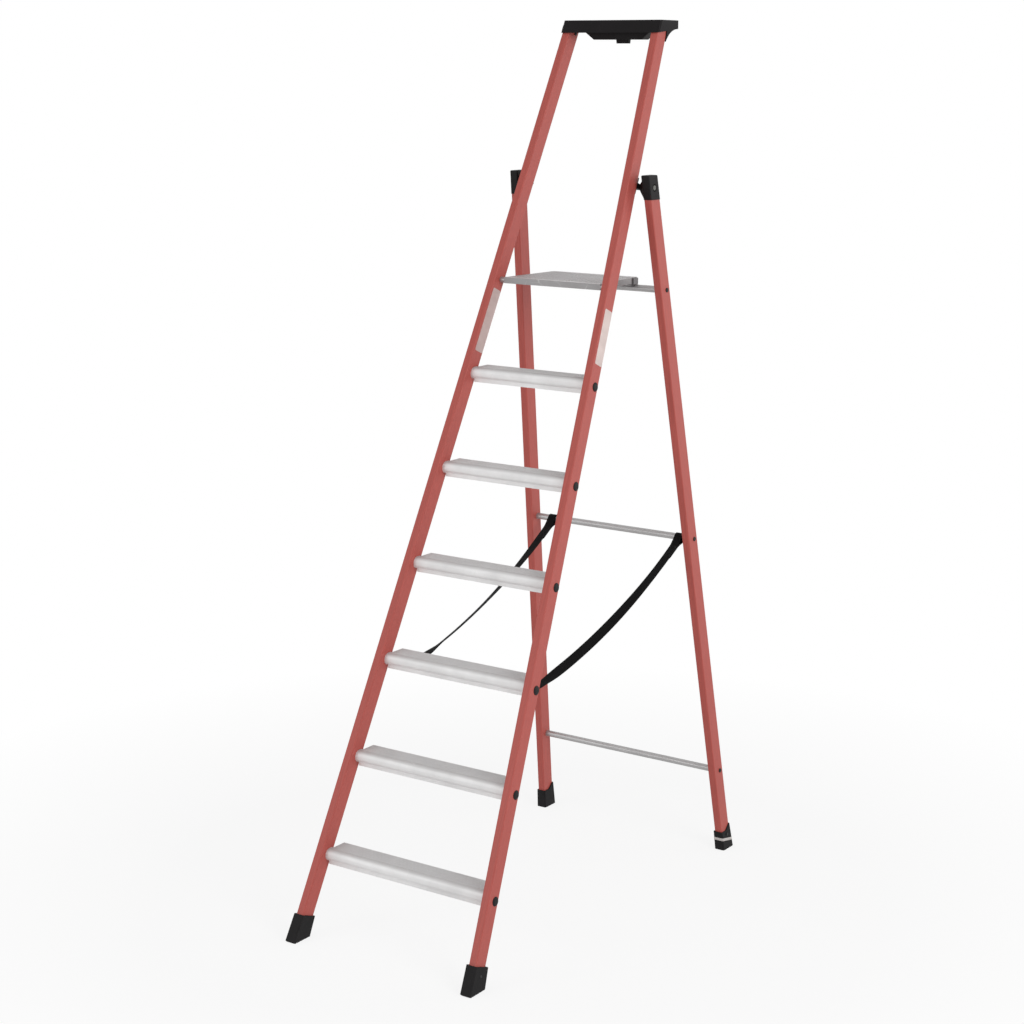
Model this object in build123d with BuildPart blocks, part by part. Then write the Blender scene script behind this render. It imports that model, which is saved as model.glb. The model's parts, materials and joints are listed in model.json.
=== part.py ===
import os
from math import asin, cos, hypot, pi, radians, sin

from build123d import *

os.makedirs("parts", exist_ok=True)

# Driving dimensions in millimetres. X runs across the ladder, Y from the treads to the rear
# legs and Z up from the floor. The origin is on the floor, in the middle of the four feet.
section_width = 22.0
section_depth = 44.0
section_wall = 3.0
section_corner = 3.0
seat_gap = 0.2
touch_gap = 0.1
run_out = 80.0
bore_run = 400.0
overlap = 1.0

# The front frame leans back and the rear frame leans forward. Both narrow towards the top.
front_half_width = 289.5
front_taper = 0.0606
front_slope = 0.4574
rear_half_width = 319.5
rear_taper = 0.0527
rear_slope = -0.1573
leg_spread = 1202.5
toe = 7.0
heel = 7.0
stile_bottom = 14.0
stile_top = 2309.0
leg_bottom = 12.0
leg_top = 1878.0

# Treads: ribbed extrusions with a round nose, whose tube is swaged into the stiles, a lip under
# the nose, a closed chamber behind it and a turned-down rear flange.
tread_count = 6
tread_pitch = 240.0
tread_low = 189.0
tread_height = 33.0
tread_depth = 69.0
tread_setback = 28.6
tread_skin = 2.6
tread_flange = 15.0
tread_foot = 6.0
tread_edge_round = 2.0
tread_end_cut = 7.0
chamber_depth = 46.0
nose_radius = 15.0
nose_toe = 10.0
nose_back = 24.0
lip_back = 5.5
lip_wall = 3.0
lip_drop = 6.0
groove_depth = 1.0
tread_groove_width = 2.2
tread_groove_count = 9
tread_groove_pitch = 5.5
tube_radius = 9.5
tube_bore = 7.5
tube_back = 10.0
tube_up = 13.5
plug_radius = 12.0
plug_bevel = 1.2
plug_head = 2.2
plug_stem_radius = 6.4
plug_stem = 6.0

# Standing platform, turning on a rod between the stiles and resting on the upper rear bar. It
# narrows towards the rear, as the stiles do towards the top.
platform_half_width = 152.5
platform_rear_half_width = 133.0
platform_depth = 212.5
platform_height = 16.0
platform_skin = 2.8
platform_front = 775.5
platform_low = 1638.0
platform_groove_count = 22
platform_groove_pitch = 8.5
platform_groove_width = 3.0
platform_front_shelf = 36.0
platform_rear_shelf = 56.0
platform_ribs = (0.32, 0.52, 0.72)
rod_radius = 6.0
running_gap = 0.05
rod_end_room = 2.0
spacer_radius = 8.0
hook_width = 12.0
hook_inset = 2.5
hook_wall = 4.0
hook_length = 52.0
hook_room = 0.5
hook_front_room = 1.0
hook_cheek = 27.5
hook_cheek_drop = 2.0
hook_rear_lip = 22.0
hook_front_lip = 8.0
hook_rivet_backs = (-33.0, -22.0)

# Rear bars, screwed between the rear legs.
bar_radius = 9.0
bar_bore = 4.1
bar_back = 28.0
bar_heights = {"upper_rear_bar": 1626.0, "middle_rear_bar": 934.0, "lower_rear_bar": 241.0}
bar_screw_radius = 4.0
bar_screw_head = 6.0
bar_screw_head_height = 3.0
bar_screw_length = 48.0

# Hinge: a lug bracket behind each stile, a moulded cap with a tapered boss on each rear leg,
# and one bolt.
hinge_back = 10.0
lug_radius = 7.5
lug_overlap = 5.0
bracket_width = 12.0
bracket_inset = 1.0
bracket_length = 44.0
bracket_plate = 2.5
bracket_corner = 1.0
bracket_rivet_reach = 15.5
bolt_radius = 4.0
bolt_head_radius = 8.5
bolt_head = 5.0
bolt_head_bevel = 2.0
bolt_seat_room = 1.0
bolt_tip = 1.0
nut_flats = 11.0
nut_height = 4.5
washer_radius = 7.3
washer_thickness = 1.5
body_gap = 0.3
cap_wall = 1.2
cap_low = 1865.0
cap_high = 1928.5
cap_corner = 4.0
cap_round = 3.0
cap_rivet_up = 7.0
boss_length = 18.9
boss_depth = 38.0
boss_height = 58.0
boss_corner = 6.0
boss_root = 2.0

# Tool tray over the tops of the stiles.
tray_half_width = 154.0
tray_low = 2292.0
tray_top = 2325.0
tray_depth = 94.5
tray_rear_fall = 1.0
tray_rear_rise = 9.0
tray_wall = 3.5
tray_front_wall = 4.0
tray_recess = 11.0
tray_deck = 3.0
tray_corner = 8.0
tray_rim_round = 1.5
tray_screw_level = 2302.0
tray_screw_backs = (-12.0, 6.0)
tray_screw_sink = 1.0
pocket_half_widths = (104.0, 100.0, 76.0)
pocket_front = 40.0
pocket_depth = 46.0
pocket_foot_depth = 42.0
pocket_low = 2274.0
pocket_wall = 3.0
pocket_corner = 6.0
nub_half_width = 20.0
nub_height = 10.0
nub_depth = 16.0
nub_back = 36.0
nub_corner = 4.0
nub_draft = 6.0
gusset_back = 45.0
gusset_height = 24.0
gusset_width = 9.0
gusset_inset = 1.0
gusset_waist = (11.0, 2.0)

# Rivets and screws
small_shank = 2.4
small_depth = 9.5
small_head = 4.5
small_head_height = 1.8
small_head_taper = 0.7
hole_room = 2.0
seat_cut = 8.0

# Shoes
sleeve_wall = 3.0
toe_round = 4.0
toe_draft = 1.0
sole_pitch = 15.0
sole_groove = 3.0
sole_groove_count = 4
front_shoe_height = 76.0
front_shoe_top = 67.5
front_shoe_fall = 0.37
front_shoe_wall = 5.0
front_shoe_heel = 12.0
front_shoe_corner = 5.0
front_shoe_rivet_level = 48.0
rear_shoe_height = 55.0
rear_shoe_tab = 71.0
rear_shoe_wall = 4.5
rear_shoe_corner = 5.0
rear_shoe_rivet_level = 40.0
tab_start = 0.55
tab_end = 0.92

# Straps between the third tread and the middle rear bar. The left one has slid inwards on the
# bar, and the right one is turned further on its edge.
strap_tread = 3
strap_width = 25.0
strap_thickness = 2.0
strap_sag = 34.5
strap_split = 0.29
strap_front_x = {"left": 185.0, "right": 205.0}
strap_rear_x = {"left": 193.0, "right": 226.0}
strap_roll = {"left": 20.0, "right": 45.0}
strap_back = 80.0
strap_drop = 1.5
strap_start = 1.0
strap_end_gap = 3.0
tail_inset = 12.0
clamp_back = 33.0
clamp_gap = 0.05
clamp_length = 20.0
clamp_width = 32.0
clamp_plate = 2.5
clamp_rivet_reach = 8.0

sides = {"left": -1, "right": 1}
low_end = (Align.CENTER, Align.CENTER, Align.MIN)
high_end = (Align.CENTER, Align.CENTER, Align.MAX)

# Places that follow from the dimensions above.
front_run = hypot(1, front_slope)
rear_run = hypot(1, rear_slope)
base_depth = toe + leg_spread + section_depth * rear_run + heel
front_y = toe - base_depth / 2
rear_y = front_y + leg_spread
hinge_z = leg_spread + section_depth / 2 * rear_run - (section_depth + hinge_back) * front_run
hinge_z = hinge_z / (front_slope - rear_slope)
hinge_y = front_y + front_slope * hinge_z + (section_depth + hinge_back) * front_run
pivot_y = front_y + platform_front + platform_height / 2
pivot_z = platform_low + platform_height / 2


def section_plane(side, height, half_width, taper, start, slope):
    rise = Vector(-side * taper, slope, 1).normalized()
    rearward = Vector(0, 1, -slope).normalized()
    across = rearward.cross(rise)
    edge = Vector(side * (half_width - taper * height), start + slope * height, height)
    centre = edge - across * (side * section_width / 2) + rearward * (section_depth / 2)
    return Plane(origin=centre, x_dir=across, z_dir=rise)


def stile_plane(side, height):
    return section_plane(side, height, front_half_width, front_taper, front_y, front_slope)


def leg_plane(side, height):
    return section_plane(side, height, rear_half_width, rear_taper, rear_y, rear_slope)


def side_face(plane, side, offset, back=0.0, up=0.0):
    # A plane on a side face of a member, looking outwards, at an offset from its centre.
    origin = plane.origin + plane.x_dir * (side * offset) + plane.y_dir * back + plane.z_dir * up
    return Plane(origin=origin, x_dir=plane.z_dir, z_dir=plane.x_dir * side)


def rear_face(plane, offset, up=0.0):
    # A plane on the rear face of a member, looking rearwards.
    origin = plane.origin + plane.y_dir * offset + plane.z_dir * up
    return Plane(origin=origin, x_dir=plane.z_dir, z_dir=plane.y_dir)


def cross_plane(y, z, x=0.0):
    # A plane across the ladder, with its first axis rearwards and its second upwards.
    return Plane(origin=(x, y, z), x_dir=(0, 1, 0), z_dir=(1, 0, 0))


def tread_front(height):
    return front_y + front_slope * height + tread_setback


def tread_base(number):
    return tread_low + tread_pitch * (number - 1)


def tube_centre(number):
    base = tread_base(number)
    return tread_front(base) + tube_back, base + tube_up


def bar_centre(height):
    start = height + rear_slope * bar_back / rear_run
    return rear_y + rear_slope * start + bar_back / rear_run, height


def face_reach(plane, side, offset, y, z):
    # Where an axis along X, at y and z, meets a member's side plane at an offset from its centre.
    normal = plane.x_dir * side
    point = plane.origin + normal * offset
    return normal.dot(point - Vector(0, y, z)) / normal.X


def on_side_face(plane, side, y, z):
    reach = face_reach(plane, side, section_width / 2, y, z)
    return Plane(origin=(reach, y, z), x_dir=plane.z_dir, z_dir=plane.x_dir * side)


def inner_cut(plane, side, offset):
    normal = plane.x_dir * side
    return Plane(origin=plane.origin + normal * offset, z_dir=normal)


# Hinge stations along X, for the right side. The left ones are mirrored by the sign of the side.
leg_level = leg_plane(1, hinge_z)
cap_inner = face_reach(leg_level, 1, -section_width / 2 - cap_wall, hinge_y, hinge_z)
cap_outer = face_reach(leg_level, 1, section_width / 2 + cap_wall, hinge_y, hinge_z)
stile_outer = face_reach(stile_plane(1, hinge_z), 1, section_width / 2, hinge_y, hinge_z)
bracket_x = stile_outer - bracket_inset - bracket_width / 2
boss_end = cap_inner - boss_length
washer_start = boss_end - body_gap - washer_thickness
lug_inner = stile_outer - lug_overlap
lug_length = washer_start - touch_gap - lug_inner
nut_start = lug_inner - touch_gap - nut_height
bolt_end = nut_start - bolt_tip
seat_floor = cap_outer - bolt_head


def hinge_station(side, x):
    return Plane(origin=(side * x, hinge_y, hinge_z), z_dir=(side, 0, 0))


def bracket_plane(side, x):
    # Across the hinge axis, with its first axis square to the stile's rear face.
    return Plane(origin=(side * x, hinge_y, hinge_z), x_dir=(0, 1, -front_slope), z_dir=(1, 0, 0))


# Fastener places, used for the holes and for the fasteners.
strap_base = tread_base(strap_tread)
clamp_y = tread_front(strap_base) + clamp_back
clamp_top = strap_base - strap_drop - strap_thickness / 2 - clamp_gap
strap_rivet_planes = {}
bracket_rivet_planes = {}
front_shoe_rivet_planes = {}
rear_shoe_rivet_planes = {}
cap_rivet_planes = {}
tray_screw_planes = {}
for name, side in sides.items():
    along = Vector(0, front_slope, 1).normalized()
    spot = Vector(side * bracket_x, hinge_y, hinge_z)
    spot = spot + Vector(0, 1, -front_slope).normalized() * (bracket_plate - hinge_back)
    bracket_rivet_planes[name] = [
        Plane(origin=spot + along * shift, x_dir=(1, 0, 0), z_dir=(0, 1, -front_slope))
        for shift in (-bracket_rivet_reach, bracket_rivet_reach)
    ]
    level = stile_plane(side, front_shoe_rivet_level)
    front_shoe_rivet_planes[name] = [side_face(level, side, section_width / 2 + front_shoe_wall)]
    level = leg_plane(side, rear_shoe_rivet_level)
    rear_shoe_rivet_planes[name] = [side_face(level, side, section_width / 2 + rear_shoe_wall)]
    level = leg_plane(side, cap_low + cap_rivet_up)
    cap_rivet_planes[name] = [rear_face(level, section_depth / 2 + cap_wall)]
    level = stile_plane(side, tray_screw_level)
    tray_screw_planes[name] = [
        side_face(level, -side, section_width / 2 + tray_wall - tray_screw_sink, back)
        for back in tray_screw_backs
    ]
    strap_rivet_planes[name] = [
        Plane(
            origin=(side * strap_front_x[name] + shift, clamp_y, clamp_top - clamp_plate),
            x_dir=(1, 0, 0),
            z_dir=(0, 0, -1),
        )
        for shift in (-clamp_rivet_reach, clamp_rivet_reach)
    ]


def shank_holes(planes, radius, depth):
    with Locations(*planes):
        Cylinder(radius + seat_gap, depth, align=high_end, mode=Mode.SUBTRACT)


def screw_seats(planes):
    # A hole for the shank and a flat seat for the head, cut into a moulded wall.
    shank_holes(planes, small_shank, small_depth)
    with Locations(*planes):
        Cylinder(small_head + body_gap, seat_cut, align=low_end, mode=Mode.SUBTRACT)


def rivets(planes, radius, depth, head_radius, head):
    with Locations(*planes):
        Cylinder(radius, depth, align=high_end)
        Cone(head_radius, head_radius * small_head_taper, head, align=low_end)


def finish(part, label):
    part.label = label
    export_step(part, f"parts/{label}.step")


# Front stiles: hollow pultruded box sections, level at both ends.
for name, side in sides.items():
    with BuildPart() as stile:
        with BuildSketch(stile_plane(side, -run_out / 2)):
            RectangleRounded(section_width, section_depth, section_corner)
            RectangleRounded(
                section_width - 2 * section_wall,
                section_depth - 2 * section_wall,
                section_corner / 2,
                mode=Mode.SUBTRACT,
            )
        extrude(amount=(stile_top + run_out) * hypot(front_run, front_taper))
        split(bisect_by=Plane.XY.offset(stile_bottom), keep=Keep.TOP)
        split(bisect_by=Plane.XY.offset(stile_top), keep=Keep.BOTTOM)
        for number in range(1, tread_count + 1):
            y, z = tube_centre(number)
            with Locations(Plane(origin=(0, y, z), z_dir=(side, 0, 0))):
                Cylinder(tube_radius + seat_gap, bore_run, align=low_end, mode=Mode.SUBTRACT)
        rod_reach = abs(stile_plane(side, pivot_z).origin.X)
        with Locations(Plane(origin=(0, pivot_y, pivot_z), z_dir=(side, 0, 0))):
            Cylinder(rod_radius + seat_gap, rod_reach, align=low_end, mode=Mode.SUBTRACT)
        shank_holes(bracket_rivet_planes[name], small_shank, small_depth + hole_room)
        shank_holes(front_shoe_rivet_planes[name], small_shank, small_depth + hole_room)
        shank_holes(tray_screw_planes[name], small_shank, small_depth + hole_room)
    finish(stile.part, f"{name}_front_stile")

# Rear legs
for name, side in sides.items():
    with BuildPart() as leg:
        with BuildSketch(leg_plane(side, 0.0)):
            RectangleRounded(section_width, section_depth, section_corner)
            RectangleRounded(
                section_width - 2 * section_wall,
                section_depth - 2 * section_wall,
                section_corner / 2,
                mode=Mode.SUBTRACT,
            )
        extrude(amount=leg_top * hypot(rear_run, rear_taper))
        split(bisect_by=Plane.XY.offset(leg_bottom), keep=Keep.TOP)
        for height in bar_heights.values():
            y, z = bar_centre(height)
            with Locations(Plane(origin=(0, y, z), z_dir=(side, 0, 0))):
                Cylinder(bar_screw_radius + seat_gap, bore_run, align=low_end, mode=Mode.SUBTRACT)
        shank_holes(rear_shoe_rivet_planes[name], small_shank, small_depth + hole_room)
        shank_holes(cap_rivet_planes[name], small_shank, small_depth + hole_room)
    finish(leg.part, f"{name}_rear_leg")

# Treads: deck with grip grooves, round nose with its tube and lip, closed chamber, rear flange.
nose_low = tube_up - nose_toe
nose_centre = tread_height - nose_radius
half_root = 0.5 ** 0.5
for number in range(1, tread_count + 1):
    base = tread_base(number)
    y, z = tube_centre(number)
    with BuildPart() as tread:
        with BuildSketch(cross_plane(tread_front(base), base)) as profile:
            with BuildLine():
                Line((0, tube_up), (0, nose_centre))
                ThreePointArc(
                    (0, nose_centre),
                    (nose_radius * (1 - half_root), nose_centre + nose_radius * half_root),
                    (nose_radius, tread_height),
                )
                Polyline(
                    (nose_radius, tread_height),
                    (nose_back, tread_height),
                    (nose_back, nose_low),
                    (nose_toe, nose_low),
                )
                ThreePointArc(
                    (nose_toe, nose_low),
                    (nose_toe * (1 - half_root), tube_up - nose_toe * half_root),
                    (0, tube_up),
                )
            make_face()
            offset(amount=-tread_skin, mode=Mode.SUBTRACT)
            with Locations((tube_back, tube_up)):
                Circle(tube_radius)
            with Locations((nose_radius, tread_height)):
                Rectangle(tread_depth - nose_radius, tread_skin, align=(Align.MIN, Align.MAX))
            with Locations((tread_depth, tread_height)):
                Rectangle(tread_skin, tread_flange, align=(Align.MAX, Align.MAX))
            with Locations((tread_depth, tread_height - tread_flange)):
                Rectangle(tread_foot, tread_skin, align=(Align.MAX, Align.MIN))
            with Locations((chamber_depth, 0)):
                Rectangle(tread_skin, tread_height, align=(Align.MAX, Align.MIN))
                Rectangle(chamber_depth - lip_back, tread_skin, align=(Align.MAX, Align.MIN))
            with Locations((lip_back, -lip_drop)):
                Rectangle(lip_wall, lip_drop + nose_low + lip_wall, align=(Align.MIN, Align.MIN))
            fillet(profile.vertices().group_by(Axis.X)[-1].sort_by(Axis.Y)[-1], tread_edge_round)
            with Locations(((nose_radius + tread_depth) / 2, tread_height)):
                with GridLocations(tread_groove_pitch, 1, tread_groove_count, 1):
                    Rectangle(tread_groove_width, 2 * groove_depth, mode=Mode.SUBTRACT)
        extrude(amount=front_half_width, both=True)
        for side in sides.values():
            level = stile_plane(side, base)
            split(bisect_by=inner_cut(level, side, -section_width / 2), keep=Keep.BOTTOM)
            reach = face_reach(level, side, -section_width / 2, y, z) - side * tread_end_cut
            with BuildSketch(cross_plane(tread_front(base), base, reach)):
                Polygon(
                    (nose_back, 2 * tread_height),
                    (2 * tread_depth, 2 * tread_height),
                    (2 * tread_depth, -2 * lip_drop),
                    (-lip_back, -2 * lip_drop),
                    (-lip_back, nose_low - touch_gap),
                    (nose_back, nose_low - touch_gap),
                    align=None,
                )
            extrude(amount=side * 3 * tread_end_cut, mode=Mode.SUBTRACT)
        with BuildSketch(cross_plane(y, z)):
            Circle(tube_radius)
        extrude(amount=front_half_width, both=True)
        for side in sides.values():
            level = stile_plane(side, base)
            split(bisect_by=inner_cut(level, side, section_width / 2 - touch_gap), keep=Keep.BOTTOM)
        with Locations(cross_plane(y, z)):
            Cylinder(tube_bore, 2 * front_half_width, mode=Mode.SUBTRACT)
        if number == strap_tread:
            for planes in strap_rivet_planes.values():
                shank_holes(planes, small_shank, small_depth + hole_room)
    finish(tread.part, f"tread_{number}")

# Plugs that close the swaged tube ends on the outer faces of the stiles.
with BuildPart() as plugs:
    spots = []
    for number in range(1, tread_count + 1):
        y, z = tube_centre(number)
        for side in sides.values():
            spots.append(on_side_face(stile_plane(side, z), side, y, z))
    with Locations(*spots):
        Cone(plug_radius, plug_radius - plug_bevel, plug_head, align=low_end)
        Cylinder(plug_stem_radius, plug_stem, align=high_end)
finish(plugs.part, "stile_plugs")


def tray_front(height):
    return front_y + front_slope * height - tray_front_wall


def tray_level(height, back):
    # The tray tapers towards its rear, so a level in it rises or falls with the distance back.
    share = (height - tray_low) / (tray_top - tray_low)
    change = tray_rear_rise - share * (tray_rear_rise + tray_rear_fall)
    return height + change * back / tray_depth


def tray_slab(low, high, front_inset, rear_inset):
    # Side outline of a slab of the tray. Its front leans with the stiles and its rear is upright.
    points = []
    for height, at_rear in ((low, False), (low, True), (high, True), (high, False)):
        front = tray_front(height) + front_inset
        y = tray_rear - rear_inset if at_rear else front
        points.append((y, tray_level(height, y - tray_front(height))))
    return points


def pocket_form(inset, floor):
    # The pocket or its inside: nearly upright in the tray, then narrowing to its foot.
    with BuildPart() as form:
        for half_width, depth, height in (
            (pocket_half_widths[0], pocket_depth, deck_top),
            (pocket_half_widths[1], pocket_depth, tray_low),
            (pocket_half_widths[2], pocket_foot_depth, floor),
        ):
            with BuildSketch(Plane(origin=(0, pocket_y, height))):
                RectangleRounded(2 * (half_width - inset), depth - 2 * inset, pocket_corner - inset)
        loft(ruled=True)
    return form.part


def member_core(plane, low, high):
    # The space that a stile or leg fills, with a little room, between two levels.
    with BuildPart() as core:
        with BuildSketch(plane):
            Rectangle(section_width + 2 * seat_gap, section_depth + 2 * seat_gap)
        extrude(amount=bore_run)
        split(bisect_by=Plane.XY.offset(low), keep=Keep.TOP)
        split(bisect_by=Plane.XY.offset(high), keep=Keep.BOTTOM)
    return core.part


def lies_upright(edge):
    # Whether an edge of the tray runs up along one of its four leaning corners.
    return edge.length < tray_depth / 2


# Tool tray: a moulded shell with a rim, a deep pocket, sockets for the stile tops and gussets.
socket_low = tray_low - gusset_height - run_out / 2
sockets = [
    member_core(stile_plane(side, socket_low - run_out / 2), socket_low, stile_top + seat_gap)
    for side in sides.values()
]
deck_top = tray_top - tray_recess
deck_low = deck_top - tray_deck
tray_rear = tray_front(tray_top) + tray_depth
socket_rear = tray_front(tray_low) + tray_front_wall + section_depth * front_run + tray_wall
socket_inner = front_half_width - front_taper * tray_low - section_width - tray_wall
stile_rear = front_y + front_slope * tray_low + section_depth * front_run
pocket_y = tray_front(tray_low) + pocket_front + pocket_depth / 2
pocket = pocket_form(0, pocket_low)
pocket_room = pocket_form(pocket_wall, pocket_low + pocket_wall)
with BuildPart() as tray:
    with BuildSketch(cross_plane(0, 0)):
        Polygon(*tray_slab(tray_low, tray_top, 0, 0), align=None)
    extrude(amount=tray_half_width, both=True)
    fillet(tray.edges().filter_by(Axis.X, reverse=True).filter_by(lies_upright), tray_corner)
    fillet(tray.faces().sort_by(Axis.Z)[-1].edges(), tray_rim_round)
    with BuildSketch(cross_plane(0, 0)):
        Polygon(*tray_slab(tray_low - tray_deck, deck_low, tray_wall, tray_wall), align=None)
    extrude(amount=tray_half_width - tray_wall, both=True, mode=Mode.SUBTRACT)
    for side in sides.values():
        with BuildSketch(cross_plane(0, 0, side * socket_inner)):
            outline = tray_slab(tray_low, deck_low + overlap, tray_wall / 2, tray_rear - socket_rear)
            Polygon(*outline, align=None)
        extrude(amount=side * (tray_half_width - tray_wall / 2 - socket_inner))
        gusset_start = (stile_rear - front_slope * gusset_height, tray_low - gusset_height)
        gusset_y = stile_rear + gusset_back
        gusset_end = (gusset_y, tray_level(tray_low, gusset_y - tray_front(tray_low)))
        with BuildSketch(cross_plane(0, 0, side * (tray_half_width - gusset_inset))):
            with BuildLine():
                ThreePointArc(
                    gusset_start,
                    (stile_rear + gusset_waist[0], tray_low - gusset_waist[1]),
                    gusset_end,
                )
                Polyline(
                    gusset_end,
                    (gusset_y, deck_low + overlap),
                    (stile_rear, deck_low + overlap),
                    gusset_start,
                )
            make_face()
        extrude(amount=-side * gusset_width)
    add(pocket)
    nub_y = pocket_y - pocket_depth / 2 + nub_back
    with BuildSketch(Plane(origin=(0, nub_y, pocket_low + overlap), z_dir=(0, 0, -1))):
        RectangleRounded(2 * nub_half_width, nub_depth, nub_corner)
    extrude(amount=nub_height + overlap, taper=nub_draft)
    add(pocket_room, mode=Mode.SUBTRACT)
    with BuildSketch(cross_plane(0, 0)):
        Polygon(*tray_slab(deck_top, tray_top + tray_deck, tray_wall, tray_wall), align=None)
    extrude(amount=tray_half_width - tray_wall, both=True, mode=Mode.SUBTRACT)
    for socket in sockets:
        add(socket, mode=Mode.SUBTRACT)
    for planes in tray_screw_planes.values():
        screw_seats(planes)
finish(tray.part, "tool_tray")

with BuildPart() as tray_screws:
    for planes in tray_screw_planes.values():
        rivets(planes, small_shank, small_depth, small_head, small_head_height)
finish(tray_screws.part, "tray_screws")

# Front shoes: slanted rubber sleeves with a longer sole and a rounded toe.
for name, side in sides.items():
    socket = member_core(stile_plane(side, -run_out), stile_bottom - seat_gap, 2 * run_out)
    sole_front = front_y - toe
    sole_rear = front_y + section_depth * front_run + front_shoe_heel
    lean = front_y + front_slope * front_shoe_height
    top_front = lean - front_shoe_wall * front_run
    top_rear = lean + (section_depth + sleeve_wall) * front_run
    sole_x = side * (front_half_width - section_width / 2)
    top_x = sole_x - side * front_taper * front_shoe_height
    with BuildPart() as shoe:
        with BuildSketch(Plane(origin=(sole_x, (sole_front + sole_rear + toe_round) / 2, 0))):
            RectangleRounded(
                section_width + 2 * front_shoe_wall - 2 * toe_draft,
                sole_rear - sole_front - toe_round - toe_draft,
                front_shoe_corner - toe_draft,
            )
        with BuildSketch(Plane(origin=(sole_x, (sole_front + sole_rear) / 2, toe_round))):
            RectangleRounded(
                section_width + 2 * front_shoe_wall, sole_rear - sole_front, front_shoe_corner
            )
        loft()
        with BuildSketch(Plane(origin=(sole_x, (sole_front + sole_rear) / 2, toe_round))):
            RectangleRounded(
                section_width + 2 * front_shoe_wall, sole_rear - sole_front, front_shoe_corner
            )
        with BuildSketch(Plane(origin=(top_x, (top_front + top_rear) / 2, front_shoe_height))):
            RectangleRounded(
                section_width + 2 * front_shoe_wall, top_rear - top_front, front_shoe_corner
            )
        loft()
        top_y = front_y + front_slope * front_shoe_top
        top_cut = Plane(origin=(0, top_y, front_shoe_top), z_dir=(0, front_shoe_fall, 1))
        split(bisect_by=top_cut, keep=Keep.BOTTOM)
        with Locations((sole_x, (sole_front + sole_rear) / 2, 0)):
            with GridLocations(1, sole_pitch, 1, sole_groove_count):
                Box(4 * section_width, sole_groove, 2 * sole_groove, mode=Mode.SUBTRACT)
        add(socket, mode=Mode.SUBTRACT)
        screw_seats(front_shoe_rivet_planes[name])
    finish(shoe.part, f"{name}_front_foot")

# Rear shoes: upright sleeves with a raised tab at the back.
for name, side in sides.items():
    socket = member_core(leg_plane(side, -run_out), leg_bottom - seat_gap, 2 * run_out)
    sole_front = rear_y - rear_shoe_wall
    sole_rear = rear_y + section_depth * rear_run + heel
    lean = rear_y + rear_slope * rear_shoe_tab
    top_front = lean - sleeve_wall * rear_run
    top_rear = lean + (section_depth + sleeve_wall) * rear_run
    sole_x = side * (rear_half_width - section_width / 2)
    top_x = sole_x - side * rear_taper * rear_shoe_tab
    with BuildPart() as shoe:
        with BuildSketch(Plane(origin=(sole_x, (sole_front + sole_rear) / 2, 0))):
            RectangleRounded(
                section_width + 2 * rear_shoe_wall, sole_rear - sole_front, rear_shoe_corner
            )
        with BuildSketch(Plane(origin=(top_x, (top_front + top_rear) / 2, rear_shoe_tab))):
            RectangleRounded(
                section_width + 2 * sleeve_wall, top_rear - top_front, rear_shoe_corner - 1
            )
        loft()
        with BuildSketch(cross_plane(lean, 0, sole_x)):
            Polygon(
                (-section_depth, rear_shoe_height),
                (section_depth * tab_start, rear_shoe_height),
                (section_depth * tab_end, rear_shoe_tab),
                (-section_depth, rear_shoe_tab),
                align=None,
            )
        extrude(amount=2 * section_width, both=True, mode=Mode.SUBTRACT)
        with Locations((sole_x, (sole_front + sole_rear) / 2, 0)):
            with GridLocations(1, sole_pitch, 1, sole_groove_count):
                Box(4 * section_width, sole_groove, 2 * sole_groove, mode=Mode.SUBTRACT)
        add(socket, mode=Mode.SUBTRACT)
        screw_seats(rear_shoe_rivet_planes[name])
    finish(shoe.part, f"{name}_rear_foot")

with BuildPart() as front_foot_rivets:
    for planes in front_shoe_rivet_planes.values():
        rivets(planes, small_shank, small_depth, small_head, small_head_height)
finish(front_foot_rivets.part, "front_foot_rivets")

with BuildPart() as rear_foot_rivets:
    for planes in rear_shoe_rivet_planes.values():
        rivets(planes, small_shank, small_depth, small_head, small_head_height)
finish(rear_foot_rivets.part, "rear_foot_rivets")

# Rear bars and their screws
for label, height in bar_heights.items():
    y, z = bar_centre(height)
    with BuildPart() as bar:
        with BuildSketch(cross_plane(y, z)):
            Circle(bar_radius)
            Circle(bar_bore, mode=Mode.SUBTRACT)
        extrude(amount=rear_half_width, both=True)
        for side in sides.values():
            cut = inner_cut(leg_plane(side, z), side, -section_width / 2)
            split(bisect_by=cut, keep=Keep.BOTTOM)
    finish(bar.part, label)

with BuildPart() as bar_screws:
    for height in bar_heights.values():
        y, z = bar_centre(height)
        for side in sides.values():
            reach = face_reach(leg_plane(side, z), side, section_width / 2, y, z)
            reach = reach + side * bar_screw_head * rear_taper
            spot = Plane(origin=(reach, y, z), z_dir=(side, 0, 0))
            rivets(
                [spot], bar_screw_radius, bar_screw_length, bar_screw_head, bar_screw_head_height
            )
finish(bar_screws.part, "bar_screws")

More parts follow.
